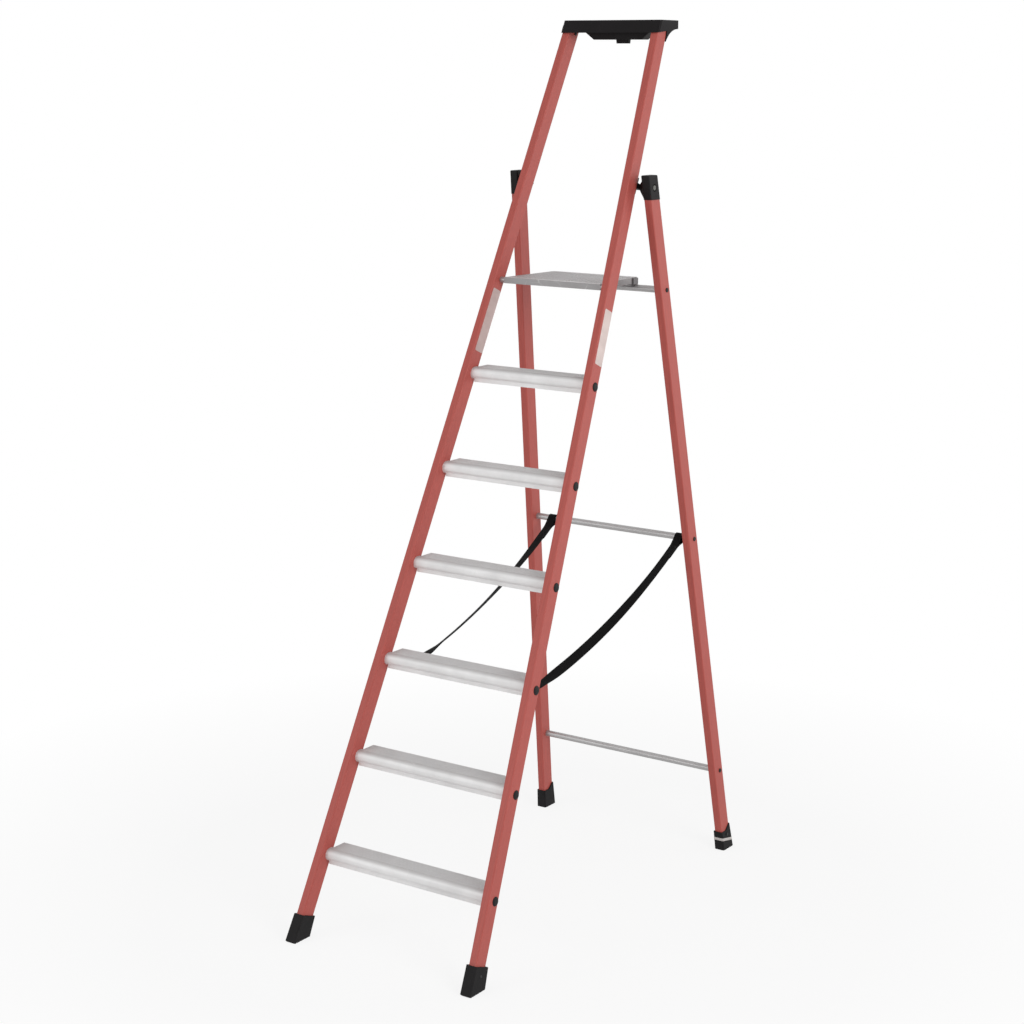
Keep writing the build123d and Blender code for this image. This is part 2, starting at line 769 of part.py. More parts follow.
# Hinges
for name, side in sides.items():
    with BuildPart() as bracket:
        with BuildSketch(bracket_plane(side, bracket_x)):
            with Locations((bracket_plate / 2 - hinge_back, 0)):
                RectangleRounded(bracket_plate, bracket_length, bracket_corner)
        extrude(amount=bracket_width / 2, both=True)
        with BuildSketch(bracket_plane(side, lug_inner)):
            Circle(lug_radius)
            with Locations((bracket_plate / 2 - hinge_back, 0)):
                Rectangle(bracket_plate, 2 * lug_radius)
            make_hull()
        extrude(amount=side * lug_length)
        with Locations(hinge_station(side, lug_inner - nut_height)):
            Cylinder(bolt_radius + seat_gap, run_out, align=low_end, mode=Mode.SUBTRACT)
        shank_holes(bracket_rivet_planes[name], small_shank, small_depth)
    finish(bracket.part, f"{name}_hinge_bracket")

    with BuildPart() as cap:
        with BuildSketch(leg_plane(side, cap_low - run_out)):
            RectangleRounded(
                section_width + 2 * cap_wall, section_depth + 2 * cap_wall, cap_corner
            )
        extrude(amount=3 * run_out)
        split(bisect_by=Plane.XY.offset(cap_low), keep=Keep.TOP)
        split(bisect_by=Plane.XY.offset(cap_high), keep=Keep.BOTTOM)
        fillet(cap.faces().sort_by(Axis.Z)[-1].edges(), cap_round)
        with BuildSketch(cross_plane(hinge_y, hinge_z, side * (cap_inner + boss_root))):
            RectangleRounded(boss_depth, boss_height, boss_corner)
        with BuildSketch(cross_plane(hinge_y, hinge_z, side * boss_end)):
            RectangleRounded(2 * lug_radius, 2 * lug_radius, lug_radius - touch_gap)
        loft(ruled=True)
        with BuildSketch(leg_plane(side, cap_low - run_out)):
            Rectangle(section_width + 2 * seat_gap, section_depth + 2 * seat_gap)
        leg_reach = (leg_top - cap_low + run_out) * hypot(rear_run, rear_taper) + seat_gap
        extrude(amount=leg_reach, mode=Mode.SUBTRACT)
        with Locations(hinge_station(side, boss_end - boss_root)):
            Cylinder(bolt_radius + running_gap, run_out, align=low_end, mode=Mode.SUBTRACT)
        with Locations(hinge_station(side, seat_floor)):
            seat_radius = bolt_head_radius + bolt_seat_room
            Cylinder(seat_radius, section_width, align=low_end, mode=Mode.SUBTRACT)
        shank_holes(cap_rivet_planes[name], small_shank, small_depth)
    finish(cap.part, f"{name}_hinge_cap")

    with BuildPart() as bolt:
        with Locations(hinge_station(side, bolt_end)):
            Cylinder(bolt_radius, seat_floor + body_gap + overlap - bolt_end, align=low_end)
        with Locations(hinge_station(side, seat_floor + body_gap)):
            Cone(bolt_head_radius, bolt_head_radius - bolt_head_bevel, bolt_head, align=low_end)
    finish(bolt.part, f"{name}_hinge_bolt")

with BuildPart() as washers:
    with Locations(*[hinge_station(side, washer_start) for side in sides.values()]):
        Cylinder(washer_radius, washer_thickness, align=low_end)
        Cylinder(bolt_radius + seat_gap, washer_thickness, align=low_end, mode=Mode.SUBTRACT)
finish(washers.part, "hinge_washers")

with BuildPart() as nuts:
    for side in sides.values():
        with BuildSketch(hinge_station(side, nut_start)):
            RegularPolygon(nut_flats / 2, 6, major_radius=False)
            Circle(bolt_radius + running_gap, mode=Mode.SUBTRACT)
        extrude(amount=nut_height)
finish(nuts.part, "hinge_nuts")

with BuildPart() as bracket_rivets:
    for planes in bracket_rivet_planes.values():
        rivets(planes, small_shank, small_depth, small_head, small_head_height)
finish(bracket_rivets.part, "bracket_rivets")

with BuildPart() as cap_rivets:
    for planes in cap_rivet_planes.values():
        rivets(planes, small_shank, small_depth, small_head, small_head_height)
finish(cap_rivets.part, "cap_rivets")

# Standing platform with its pivot rod, spacers and hooks.
upper_y, upper_z = bar_centre(bar_heights["upper_rear_bar"])
platform_rear = platform_depth - platform_height / 2
half_height = platform_height / 2
platform_start = pivot_y - half_height
hook_x = platform_rear_half_width - hook_inset
hook_rivet_planes = {
    name: [
        Plane(
            origin=(side * hook_x, upper_y + back, upper_z + bar_radius + body_gap),
            x_dir=(1, 0, 0),
            z_dir=(0, 0, -1),
        )
        for back in hook_rivet_backs
    ]
    for name, side in sides.items()
}


def platform_side(y):
    # Half width of the platform at a distance along the ladder.
    share = (y - platform_start) / platform_depth
    return platform_half_width + (platform_rear_half_width - platform_half_width) * share


def side_strip(side, first, last, inner, outer):
    # Plan of a strip along the slanting side of the platform, between two offsets from it.
    return [
        (side * (platform_side(first) + inner), first),
        (side * (platform_side(last) + inner), last),
        (side * (platform_side(last) + outer), last),
        (side * (platform_side(first) + outer), first),
    ]


with BuildPart() as platform:
    with BuildSketch(cross_plane(pivot_y, pivot_z)) as profile:
        with Locations((-half_height, half_height)):
            Rectangle(platform_depth, platform_skin, align=(Align.MIN, Align.MAX))
        with Locations((-half_height, 0)):
            Rectangle(2 * half_height, platform_height, align=(Align.MIN, Align.CENTER))
        with Locations((-half_height, -half_height)):
            Rectangle(platform_front_shelf, platform_skin, align=(Align.MIN, Align.MIN))
        with Locations((platform_rear, 0)):
            Rectangle(platform_skin, platform_height, align=(Align.MAX, Align.CENTER))
        with Locations((platform_rear, -half_height)):
            Rectangle(platform_rear_shelf, platform_skin, align=(Align.MAX, Align.MIN))
        for back in platform_ribs:
            with Locations((back * platform_rear, 0)):
                Rectangle(platform_skin, platform_height, align=(Align.CENTER, Align.CENTER))
        with Locations((platform_depth / 2 - half_height, half_height)):
            with GridLocations(platform_groove_pitch, 1, platform_groove_count, 1):
                Rectangle(platform_groove_width, 2 * groove_depth, mode=Mode.SUBTRACT)
    extrude(amount=platform_half_width, both=True)
    platform_end = platform_start + platform_depth
    for side in sides.values():
        with BuildSketch(Plane.XY.offset(platform_low)):
            Polygon(*side_strip(side, platform_start, platform_end, -platform_skin, 0), align=None)
        extrude(amount=platform_height - groove_depth)
        with BuildSketch(Plane.XY.offset(platform_low - overlap)):
            first = platform_start - overlap
            last = platform_end + overlap
            Polygon(*side_strip(side, first, last, 0, platform_half_width), align=None)
        extrude(amount=platform_height + 2 * overlap, mode=Mode.SUBTRACT)
    with Locations(cross_plane(pivot_y, pivot_z)):
        Cylinder(rod_radius + running_gap, 3 * platform_half_width, mode=Mode.SUBTRACT)
    for planes in hook_rivet_planes.values():
        shank_holes(planes, small_shank, small_depth)
finish(platform.part, "platform_deck")

for name, side in sides.items():
    reach = upper_y - pivot_y
    pad_low = upper_z - pivot_z + bar_radius + body_gap
    with BuildPart() as hook:
        with BuildSketch(cross_plane(pivot_y, pivot_z, side * hook_x)):
            with Locations((reach + bar_radius + hook_room + hook_wall, -half_height)):
                Rectangle(hook_length, -half_height - pad_low, align=(Align.MAX, Align.MAX))
                Rectangle(hook_wall, hook_rear_lip, align=(Align.MAX, Align.MAX))
            with Locations((reach - bar_radius - hook_front_room, -half_height)):
                Rectangle(hook_wall, hook_front_lip, align=(Align.MAX, Align.MAX))
        extrude(amount=hook_width / 2, both=True)
        with BuildSketch(Plane.XY.offset(pivot_z + pad_low)):
            last = upper_y + bar_radius + hook_room + hook_wall
            cheek = side_strip(side, last - hook_cheek, last, touch_gap, touch_gap + hook_wall)
            Polygon(*cheek, align=None)
        extrude(amount=half_height - hook_cheek_drop - pad_low)
        shank_holes(hook_rivet_planes[name], small_shank, small_depth)
    finish(hook.part, f"{name}_platform_hook")

with BuildPart() as hook_rivets:
    for planes in hook_rivet_planes.values():
        rivets(planes, small_shank, small_depth, small_head, small_head_height)
finish(hook_rivets.part, "hook_rivets")

stile_inner = face_reach(stile_plane(1, pivot_z), 1, -section_width / 2, pivot_y, pivot_z)
with BuildPart() as rod:
    with Locations(cross_plane(pivot_y, pivot_z)):
        Cylinder(rod_radius, 2 * (stile_inner + section_width - section_wall - rod_end_room))
finish(rod.part, "platform_rod")

with BuildPart() as spacers:
    for side in sides.values():
        start = platform_half_width + body_gap
        with Locations(Plane(origin=(side * start, pivot_y, pivot_z), z_dir=(side, 0, 0))):
            length = stile_inner - start - spacer_radius * front_taper - touch_gap
            Cylinder(spacer_radius, length, align=low_end)
            Cylinder(rod_radius + seat_gap, length, align=low_end, mode=Mode.SUBTRACT)
finish(spacers.part, "platform_spacers")

# Straps. Each hangs in a shallow arc from a clamp under the third tread to the middle rear bar.
strap_y = tread_front(strap_base) + strap_back
strap_z = strap_base - strap_drop
middle_y, middle_z = bar_centre(bar_heights["middle_rear_bar"])


def strap_ends(name):
    side = sides[name]
    front_end = Vector(side * strap_front_x[name], strap_y, strap_z)
    rear_end = Vector(side * strap_rear_x[name], middle_y, middle_z)
    return front_end, rear_end


def strap_arc(name):
    # Radius of the arc that a strap hangs in, and half of the angle that it spans.
    front_end, rear_end = strap_ends(name)
    run = (rear_end - front_end).length
    radius = (run * run / 4 + strap_sag * strap_sag) / (2 * strap_sag)
    return radius, asin(run / 2 / radius)


def strap_station(name, fraction):
    # A section across the hanging strap, which rolls outwards towards the middle of its run.
    front_end, rear_end = strap_ends(name)
    radius, spread = strap_arc(name)
    along = (rear_end - front_end).normalized()
    level = along.cross(Vector(0, 0, 1)).normalized()
    upward = level.cross(along)
    turn = (2 * fraction - 1) * spread
    point = front_end + along * (radius * (sin(spread) + sin(turn)))
    point = point + upward * (radius * (1 - cos(turn)) - strap_sag)
    tangent = along * cos(turn) + upward * sin(turn)
    roll = radians(strap_roll[name]) * sin(pi * fraction)
    across = level * cos(roll) - level.cross(tangent) * (sides[name] * sin(roll))
    return Plane(origin=point, x_dir=across, z_dir=tangent)


def strap_piece(name, first, last, steps):
    with BuildPart() as strap:
        for step in range(steps + 1):
            with BuildSketch(strap_station(name, first + (last - first) * step / steps)):
                Rectangle(strap_width, strap_thickness)
        loft(ruled=True)
    return strap.part


for name, side in sides.items():
    arc_radius, arc_spread = strap_arc(name)
    strap_full = 2 * arc_spread * arc_radius
    strap_break = body_gap / strap_full
    strap_last = 1 - (bar_radius + strap_thickness + strap_end_gap) / strap_full
    lower = strap_piece(name, strap_start / strap_full, strap_split - strap_break, 4)
    finish(lower, f"{name}_strap_lower")
    upper = strap_piece(name, strap_split + strap_break, strap_last, 8)
    finish(upper, f"{name}_strap_upper")
    with BuildPart() as loop:
        with BuildSketch(cross_plane(middle_y, middle_z, side * strap_rear_x[name])):
            Circle(bar_radius + seat_gap + strap_thickness)
            Circle(bar_radius + seat_gap / 2, mode=Mode.SUBTRACT)
        extrude(amount=strap_width / 2, both=True)
    finish(loop.part, f"{name}_strap_loop")

strap_low = strap_z - strap_thickness / 2
with BuildPart() as tails:
    for name, side in sides.items():
        with Locations((side * strap_front_x[name], strap_y - strap_start, strap_low)):
            Box(
                strap_width,
                strap_back - tail_inset,
                strap_thickness,
                align=(Align.CENTER, Align.MAX, Align.MIN),
            )
        shank_holes(strap_rivet_planes[name], small_shank, small_depth)
finish(tails.part, "strap_tails")

with BuildPart() as clamps:
    for name, side in sides.items():
        with Locations((side * strap_front_x[name], clamp_y, clamp_top)):
            Box(clamp_width, clamp_length, clamp_plate, align=high_end)
        shank_holes(strap_rivet_planes[name], small_shank, small_depth)
finish(clamps.part, "strap_clamps")

with BuildPart() as strap_rivets:
    for planes in strap_rivet_planes.values():
        rivets(planes, small_shank, small_depth, small_head, small_head_height)
finish(strap_rivets.part, "strap_rivets")
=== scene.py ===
import json
import math

import bmesh
import bpy
from mathutils import Euler, Matrix, Vector


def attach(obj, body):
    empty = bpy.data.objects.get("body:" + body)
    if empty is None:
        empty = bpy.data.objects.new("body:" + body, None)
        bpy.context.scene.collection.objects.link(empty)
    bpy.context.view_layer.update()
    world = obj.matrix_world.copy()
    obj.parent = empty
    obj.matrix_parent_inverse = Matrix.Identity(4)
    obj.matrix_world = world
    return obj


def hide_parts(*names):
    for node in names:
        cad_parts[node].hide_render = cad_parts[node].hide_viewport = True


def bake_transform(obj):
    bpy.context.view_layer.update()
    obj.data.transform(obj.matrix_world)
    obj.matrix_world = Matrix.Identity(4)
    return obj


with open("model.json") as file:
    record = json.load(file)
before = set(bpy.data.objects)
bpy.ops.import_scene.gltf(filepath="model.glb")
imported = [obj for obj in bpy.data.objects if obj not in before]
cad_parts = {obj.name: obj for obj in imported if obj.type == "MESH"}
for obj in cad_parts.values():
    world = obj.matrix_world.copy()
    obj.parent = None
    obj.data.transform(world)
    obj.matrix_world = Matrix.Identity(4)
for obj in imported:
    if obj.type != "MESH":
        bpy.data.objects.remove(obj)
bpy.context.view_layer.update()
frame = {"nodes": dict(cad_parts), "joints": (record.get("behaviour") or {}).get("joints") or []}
nodes = frame["nodes"]
jointPlaces = {joint["name"]: Vector(joint["pos_m"]) for joint in frame["joints"]}
scene = bpy.context.scene
scene.view_settings.view_transform = "Standard"
print("ladder frame loaded,", len(nodes), "parts")

# Camera at the photograph's own angle
cameraSet = {
    "place": (3.0800, -4.47482, 2.24485),
    "tilt": 77.678,
    "turn": 34.713,
    "roll": 0.0628,
    "lens": 74.253,
    "sensor": 36.0,
    "reach": 200.0,
}


def makeCamera(spec):
    data = bpy.data.cameras.new("photoCamera")
    data.lens = spec["lens"]
    data.sensor_width = spec["sensor"]
    data.clip_end = spec["reach"]
    camera = bpy.data.objects.new("photoCamera", data)
    scene.collection.objects.link(camera)
    aim = Euler((math.radians(spec["tilt"]), 0.0, math.radians(spec["turn"]))).to_matrix()
    aim = aim @ Matrix.Rotation(math.radians(spec["roll"]), 3, "Z")
    camera.matrix_world = Matrix.Translation(spec["place"]) @ aim.to_4x4()
    scene.camera = camera


makeCamera(cameraSet)
print("camera placed")

# Stiles and legs, as the solids place them; start and slope give the front edge's y at a height
memberSet = {
    "width": 0.022,
    "depth": 0.044,
    "front": {"half": 0.2895, "taper": 0.0606, "start": -0.6235205, "slope": 0.4574},
    "rear": {"half": 0.3195, "taper": 0.0527, "start": 0.5789795, "slope": -0.1573},
}
frontStart, frontSlope = memberSet["front"]["start"], memberSet["front"]["slope"]
rearStart, rearSlope = memberSet["rear"]["start"], memberSet["rear"]["slope"]
rearStretch = math.hypot(1, rearSlope)


def memberFrame(which, side, height):
    # middle of the box section at a height, with its directions
    spec = memberSet[which]
    rise = Vector((-side * spec["taper"], spec["slope"], 1.0)).normalized()
    rearward = Vector((0.0, 1.0, -spec["slope"])).normalized()
    across = rearward.cross(rise)
    x = side * (spec["half"] - spec["taper"] * height)
    edge = Vector((x, spec["start"] + spec["slope"] * height, height))
    centre = edge - across * (side * memberSet["width"] / 2) + rearward * (memberSet["depth"] / 2)
    return centre, across, rearward, rise


# Small helpers for node trees, used by the materials and the geometry trees
def feed(tree, target, value):
    # value is another node's output or a plain constant
    if isinstance(value, bpy.types.NodeSocket):
        tree.links.new(value, target)
    else:
        target.default_value = value


def addNode(tree, kind, inputs=None, **settings):
    made = tree.nodes.new(kind)
    for name, value in settings.items():
        setattr(made, name, value)
    for place, value in (inputs or {}).items():
        feed(tree, made.inputs[place], value)
    return made


def startTree(name, kind, inputs, outputs):
    # inputs: a number is a float socket's first value, and a word names another kind of socket
    tree = bpy.data.node_groups.new(name, kind)
    for label, value in inputs.items():
        word = value if isinstance(value, str) else "Float"
        socket = tree.interface.new_socket(label, in_out="INPUT", socket_type=f"NodeSocket{word}")
        if word == "Float":
            socket.default_value = value
    for label, word in outputs.items():
        tree.interface.new_socket(label, in_out="OUTPUT", socket_type=f"NodeSocket{word}")
    start, end = tree.nodes.new("NodeGroupInput"), tree.nodes.new("NodeGroupOutput")
    return tree, start.outputs, end.inputs


def startGroup(name, inputs, *outputs):
    return startTree(name, "ShaderNodeTree", inputs, {label: "Float" for label in outputs})


def ownPlace(tree):
    return addNode(tree, "ShaderNodeTexCoord").outputs["Object"]


def mapValue(tree, value, low, high, fromLow=0.0, fromHigh=1.0):
    ends = {"From Min": fromLow, "From Max": fromHigh, "To Min": low, "To Max": high}
    return addNode(tree, "ShaderNodeMapRange", {"Value": value, **ends}).outputs["Result"]


def mathNode(tree, operation, first, second):
    made = addNode(tree, "ShaderNodeMath", {0: first, 1: second}, operation=operation)
    return made.outputs["Value"]


# Streaks that run along a member, and the fine speckle between them
def makeRunStreaks():
    sizes = {"Lean": 0.0, "Fineness": 900.0, "Along": 6.0}
    tree, start, end = startGroup("runStreaks", sizes, "Streak", "Speckle")
    place = ownPlace(tree)
    leaning = {"Vector": place, "Angle": start["Lean"]}
    upright = addNode(tree, "ShaderNodeVectorRotate", leaning, rotation_type="X_AXIS")
    scales = {"X": start["Fineness"], "Y": start["Fineness"], "Z": start["Along"]}
    stretch = addNode(tree, "ShaderNodeCombineXYZ", scales)
    pair = {0: upright.outputs["Vector"], 1: stretch.outputs["Vector"]}
    drawn = addNode(tree, "ShaderNodeVectorMath", pair, operation="MULTIPLY").outputs["Vector"]
    strand = {"Vector": drawn, "Scale": 1.0, "Detail": 4.0, "Roughness": 0.6}
    speck = {"Vector": place, "Scale": 1400.0, "Detail": 2.0, "Roughness": 0.5}
    feed(tree, end["Streak"], addNode(tree, "ShaderNodeTexNoise", strand).outputs["Fac"])
    feed(tree, end["Speckle"], addNode(tree, "ShaderNodeTexNoise", speck).outputs["Fac"])
    return tree


# Slow change of tone over a surface: handling, dust and uneven moulding
def makeSlowTone():
    tree, start, end = startGroup("slowTone", {"Scale": 4.0}, "Tone")
    cloud = {"Vector": ownPlace(tree), "Scale": start["Scale"], "Detail": 5.0, "Roughness": 0.62}
    noise = addNode(tree, "ShaderNodeTexNoise", cloud).outputs["Fac"]
    feed(tree, end["Tone"], mapValue(tree, noise, 0.0, 1.0, fromLow=0.3, fromHigh=0.7))
    return tree


# Moulded or cast grain, as a height
def makeMouldGrain():
    tree, start, end = startGroup("mouldGrain", {"Scale": 900.0}, "Height")
    grain = {"Vector": ownPlace(tree), "Scale": start["Scale"], "Smoothness": 0.6}
    cells = addNode(tree, "ShaderNodeTexVoronoi", grain, feature="SMOOTH_F1")
    feed(tree, end["Height"], cells.outputs["Distance"])
    return tree


# Thin crossing scratches from boots and tools, in some places only
def makeScuffs():
    tree, start, end = startGroup("scuffMarks", {"Scale": 14.0, "Reach": 0.02}, "Mask")
    place = ownPlace(tree)
    warp = addNode(tree, "ShaderNodeTexNoise", {"Vector": place, "Scale": 9.0, "Detail": 2.0})
    shifts = {0: warp.outputs["Color"], 1: (0.09, 0.09, 0.09), 2: place}
    bent = addNode(tree, "ShaderNodeVectorMath", shifts, operation="MULTIPLY_ADD")
    cells = {"Vector": bent.outputs["Vector"], "Scale": start["Scale"]}
    cracks = addNode(tree, "ShaderNodeTexVoronoi", cells, feature="DISTANCE_TO_EDGE")
    thin = mathNode(tree, "LESS_THAN", cracks.outputs["Distance"], start["Reach"])
    patch = addNode(tree, "ShaderNodeTexNoise", {"Vector": place, "Scale": 23.0, "Detail": 3.0})
    some = mapValue(tree, patch.outputs["Fac"], 0.0, 1.0, fromLow=0.52, fromHigh=0.66)
    feed(tree, end["Mask"], mathNode(tree, "MULTIPLY", thin, some))
    return tree


# Share of a surface that faces up, used to give up-facing faces their own colour as painted shade
def makeUpShadeMask():
    tree, start, end = startGroup("upShadeMask", {"Start": 0.55, "Full": 0.97}, "Mask")
    facing = addNode(tree, "ShaderNodeTexCoord").outputs["Normal"]
    parts = addNode(tree, "ShaderNodeSeparateXYZ", {"Vector": facing})
    share = mapValue(tree, parts.outputs["Z"], 0.0, 1.0, start["Start"], start["Full"])
    feed(tree, end["Mask"], share)
    return tree


runStreaks = makeRunStreaks()
slowTone = makeSlowTone()
mouldGrain = makeMouldGrain()
scuffMarks = makeScuffs()
upShadeMask = makeUpShadeMask()
print("shared shader groups built")


def useGroup(tree, group, **values):
    return addNode(tree, "ShaderNodeGroup", values, node_tree=group).outputs


def startMaterial(name):
    material = bpy.data.materials.new(name)
    material.use_nodes = True
    tree = material.node_tree
    return material, tree, tree.nodes["Principled BSDF"]


def mixColours(tree, factor, first, second):
    # first and second are colours or sockets; a Mix node's colours are its inputs 6 and 7
    ends = [(*value, 1.0) if isinstance(value, tuple) else value for value in (first, second)]
    mix = addNode(tree, "ShaderNodeMix", {0: factor, 6: ends[0], 7: ends[1]}, data_type="RGBA")
    return mix.outputs[2]


def dressShader(tree, shader, spec, colour, rough, height):
    # what every finish has, and the plain values that its dictionary names
    feed(tree, shader.inputs["Base Color"], colour)
    feed(tree, shader.inputs["Roughness"], rough)
    strength, depth = spec["relief"]
    relief = {"Height": height, "Strength": strength, "Distance": depth}
    bump = addNode(tree, "ShaderNodeBump", relief)
    feed(tree, shader.inputs["Normal"], bump.outputs["Normal"])
    plain = {"metallic": "Metallic", "specular": "Specular IOR Level", "sheen": "Sheen Weight"}
    for word, label in plain.items():
        if word in spec:
            shader.inputs[label].default_value = spec[word]


# Pultruded fiberglass: red-brown resin with glass strands that run along the member
fiberglassSet = {
    "deep": (0.395, 0.074, 0.060),
    "pale": (0.495, 0.104, 0.085),
    "speckle": (0.560, 0.150, 0.126),
    "strands": {"Fineness": 620.0, "Along": 7.0},
    "strandRange": (0.32, 0.68),
    "speckleRange": (0.58, 0.75),
    "speckleShare": 0.55,
    "toneScale": 3.0,
    "toneShare": 0.16,
    "gloss": (0.40, 0.54),
    "glossRange": (0.3, 0.7),
    "specular": 0.32,
    "relief": (0.25, 0.0004),
}


def makeFiberglass(name, slope, spec):
    material, tree, shader = startMaterial(name)
    run = useGroup(tree, runStreaks, Lean=math.atan(slope), **spec["strands"])
    tone = useGroup(tree, slowTone, Scale=spec["toneScale"])["Tone"]
    sharp = mapValue(tree, run["Streak"], 0.0, 1.0, *spec["strandRange"])
    strands = mixColours(tree, sharp, spec["deep"], spec["pale"])
    dots = mapValue(tree, run["Speckle"], 0.0, spec["speckleShare"], *spec["speckleRange"])
    flecked = mixColours(tree, dots, strands, spec["speckle"])
    shade = mapValue(tree, tone, 0.0, spec["toneShare"])
    colour = mixColours(tree, shade, flecked, spec["deep"])
    rough = mapValue(tree, run["Streak"], *spec["gloss"], *spec["glossRange"])
    dressShader(tree, shader, spec, colour, rough, run["Streak"])
    return material


# Extruded aluminium: die lines along X, tops and sides coloured apart as painted shade, with a few
# scuffs
drawnSet = {
    "lines": (5.0, 1500.0, 1500.0),
    "lineRange": (0.3, 0.7),
    "toneScale": 11.0,
    "toneShare": 0.25,
    "scuffs": {"Scale": 16.0, "Reach": 0.012},
    "scuffShare": 0.5,
    "relief": (0.15, 0.0003),
}
# deckLight and deckDull colour the up-facing faces apart from the rest as painted shade: darker
# tread tops, and a platform front much darker than its deck
treadMetalSet = {
    **drawnSet,
    "light": (0.850, 0.845, 0.845),
    "dull": (0.780, 0.775, 0.775),
    "deckLight": (0.600, 0.592, 0.592),
    "deckDull": (0.520, 0.512, 0.512),
    "scuff": (0.740, 0.735, 0.730),
    "metallic": 0.45,
    "gloss": (0.62, 0.78),
}
platformMetalSet = {
    **drawnSet,
    "light": (0.270, 0.262, 0.264),
    "dull": (0.225, 0.218, 0.220),
    "deckLight": (0.660, 0.650, 0.654),
    "deckDull": (0.560, 0.550, 0.554),
    "scuff": (0.700, 0.695, 0.690),
    "metallic": 0.45,
    "gloss": (0.42, 0.58),
}
barMetalSet = {
    **drawnSet,
    "light": (0.460, 0.455, 0.455),
    "dull": (0.380, 0.375, 0.375),
    "deckLight": (0.480, 0.475, 0.475),
    "deckDull": (0.400, 0.395, 0.395),
    "scuff": (0.560, 0.555, 0.550),
    "metallic": 0.60,
    "gloss": (0.34, 0.50),
}
hookMetalSet = {
    **drawnSet,
    "light": (0.175, 0.165, 0.170),
    "dull": (0.120, 0.112, 0.116),
    "deckLight": (0.230, 0.220, 0.224),
    "deckDull": (0.170, 0.160, 0.164),
    "scuff": (0.260, 0.250, 0.250),
    "metallic": 0.50,
    "gloss": (0.42, 0.56),
}


def makeAluminium(name, spec):
    material, tree, shader = startMaterial(name)
    stretched = {"Vector": ownPlace(tree), "Scale": spec["lines"]}
    stretch = addNode(tree, "ShaderNodeMapping", stretched).outputs["Vector"]
    streak = {"Vector": stretch, "Scale": 1.0, "Detail": 3.0, "Roughness": 0.55}
    lines = addNode(tree, "ShaderNodeTexNoise", streak).outputs["Fac"]
    tone = useGroup(tree, slowTone, Scale=spec["toneScale"])["Tone"]
    marks = useGroup(tree, scuffMarks, **spec["scuffs"])["Mask"]
    # share of up-facing faces, which take the deck colours as painted shade by facing
    upShadeShare = useGroup(tree, upShadeMask)["Mask"]
    sharp = mapValue(tree, lines, 0.0, 1.0, *spec["lineRange"])
    drawn = mixColours(tree, sharp, spec["dull"], spec["light"])
    deck = mixColours(tree, sharp, spec["deckDull"], spec["deckLight"])
    facingShaded = mixColours(tree, upShadeShare, drawn, deck)
    worn = mixColours(tree, mapValue(tree, tone, 0.0, spec["toneShare"]), facingShaded, spec["deckDull"])
    scuffing = mapValue(tree, marks, 0.0, spec["scuffShare"])
    scuffed = mixColours(tree, scuffing, worn, spec["scuff"])
    dressShader(tree, shader, spec, scuffed, mapValue(tree, tone, *spec["gloss"]), lines)
    return material


# Dust and scuffs over a grained surface: black mouldings, shoe rubber, plate coat, film and ring
def makeMoulding(name, spec):
    material, tree, shader = startMaterial(name)
    tone = useGroup(tree, slowTone, Scale=spec["toneScale"])["Tone"]
    grain = useGroup(tree, mouldGrain, Scale=spec["grain"])["Height"]
    marks = useGroup(tree, scuffMarks, **spec["scuffs"])["Mask"]
    dust = mapValue(tree, tone, 0.0, spec["toneShare"])
    dusted = mixColours(tree, dust, spec["clean"], spec["dusty"])
    scuffing = mapValue(tree, marks, 0.0, spec["scuffShare"])
    scuffed = mixColours(tree, scuffing, dusted, spec["dusty"])
    dressShader(tree, shader, spec, scuffed, mapValue(tree, tone, *spec["gloss"]), grain)
    return material


mouldedSet = {
    "toneScale": 17.0,
    "toneShare": 0.8,
    "scuffs": {"Scale": 30.0, "Reach": 0.010},
    "scuffShare": 0.5,
    "relief": (0.3, 0.0004),
}
trayPlasticSet = {
    **mouldedSet,
    "clean": (0.0040, 0.0030, 0.0035),
    "dusty": (0.0105, 0.0085, 0.0095),
    "grain": 1100.0,
    "gloss": (0.46, 0.62),
    "specular": 0.13,
}
capPlasticSet = {
    **mouldedSet,
    "clean": (0.0045, 0.0036, 0.0042),
    "dusty": (0.0125, 0.0110, 0.0115),
    "grain": 1000.0,
    "gloss": (0.46, 0.60),
    "specular": 0.15,
}
plugPlasticSet = {
    **mouldedSet,
    "clean": (0.0040, 0.0036, 0.0038),
    "dusty": (0.0085, 0.0078, 0.0080),
    "grain": 1500.0,
    "gloss": (0.40, 0.55),
    "specular": 0.16,
}
shoeRubberSet = {
    **mouldedSet,
    "clean": (0.0060, 0.0056, 0.0060),
    "dusty": (0.0230, 0.0215, 0.0220),
    "grain": 800.0,
    "gloss": (0.58, 0.78),
    "specular": 0.14,
}
plateCoatSet = {
    **mouldedSet,
    "clean": (0.0055, 0.0055, 0.0058),
    "dusty": (0.0120, 0.0115, 0.0115),
    "grain": 1600.0,
    "gloss": (0.36, 0.50),
    "specular": 0.18,
}

# Blank film strips on the stiles, and the pale ring on one rear shoe
filmSet = {
    "toneScale": 38.0,
    "toneShare": 0.7,
    "grain": 420.0,
    "scuffs": {"Scale": 42.0, "Reach": 0.02},
    "scuffShare": 0.6,
    "relief": (0.08, 0.0003),
}
# the left strip is the same film as the right one, its colours darkened as painted shade since it
# faces inward
leftShadedFilmSet = {
    **filmSet,
    "clean": (0.560, 0.420, 0.395),
    "dusty": (0.450, 0.330, 0.310),
    "gloss": (0.34, 0.50),
}
rightFilmSet = {
    **filmSet,
    "clean": (0.720, 0.590, 0.555),
    "dusty": (0.580, 0.470, 0.440),
    "gloss": (0.32, 0.48),
}
ringSet = {
    **filmSet,
    "clean": (0.62, 0.58, 0.56),
    "dusty": (0.42, 0.39, 0.375),
    "gloss": (0.50, 0.68),
}

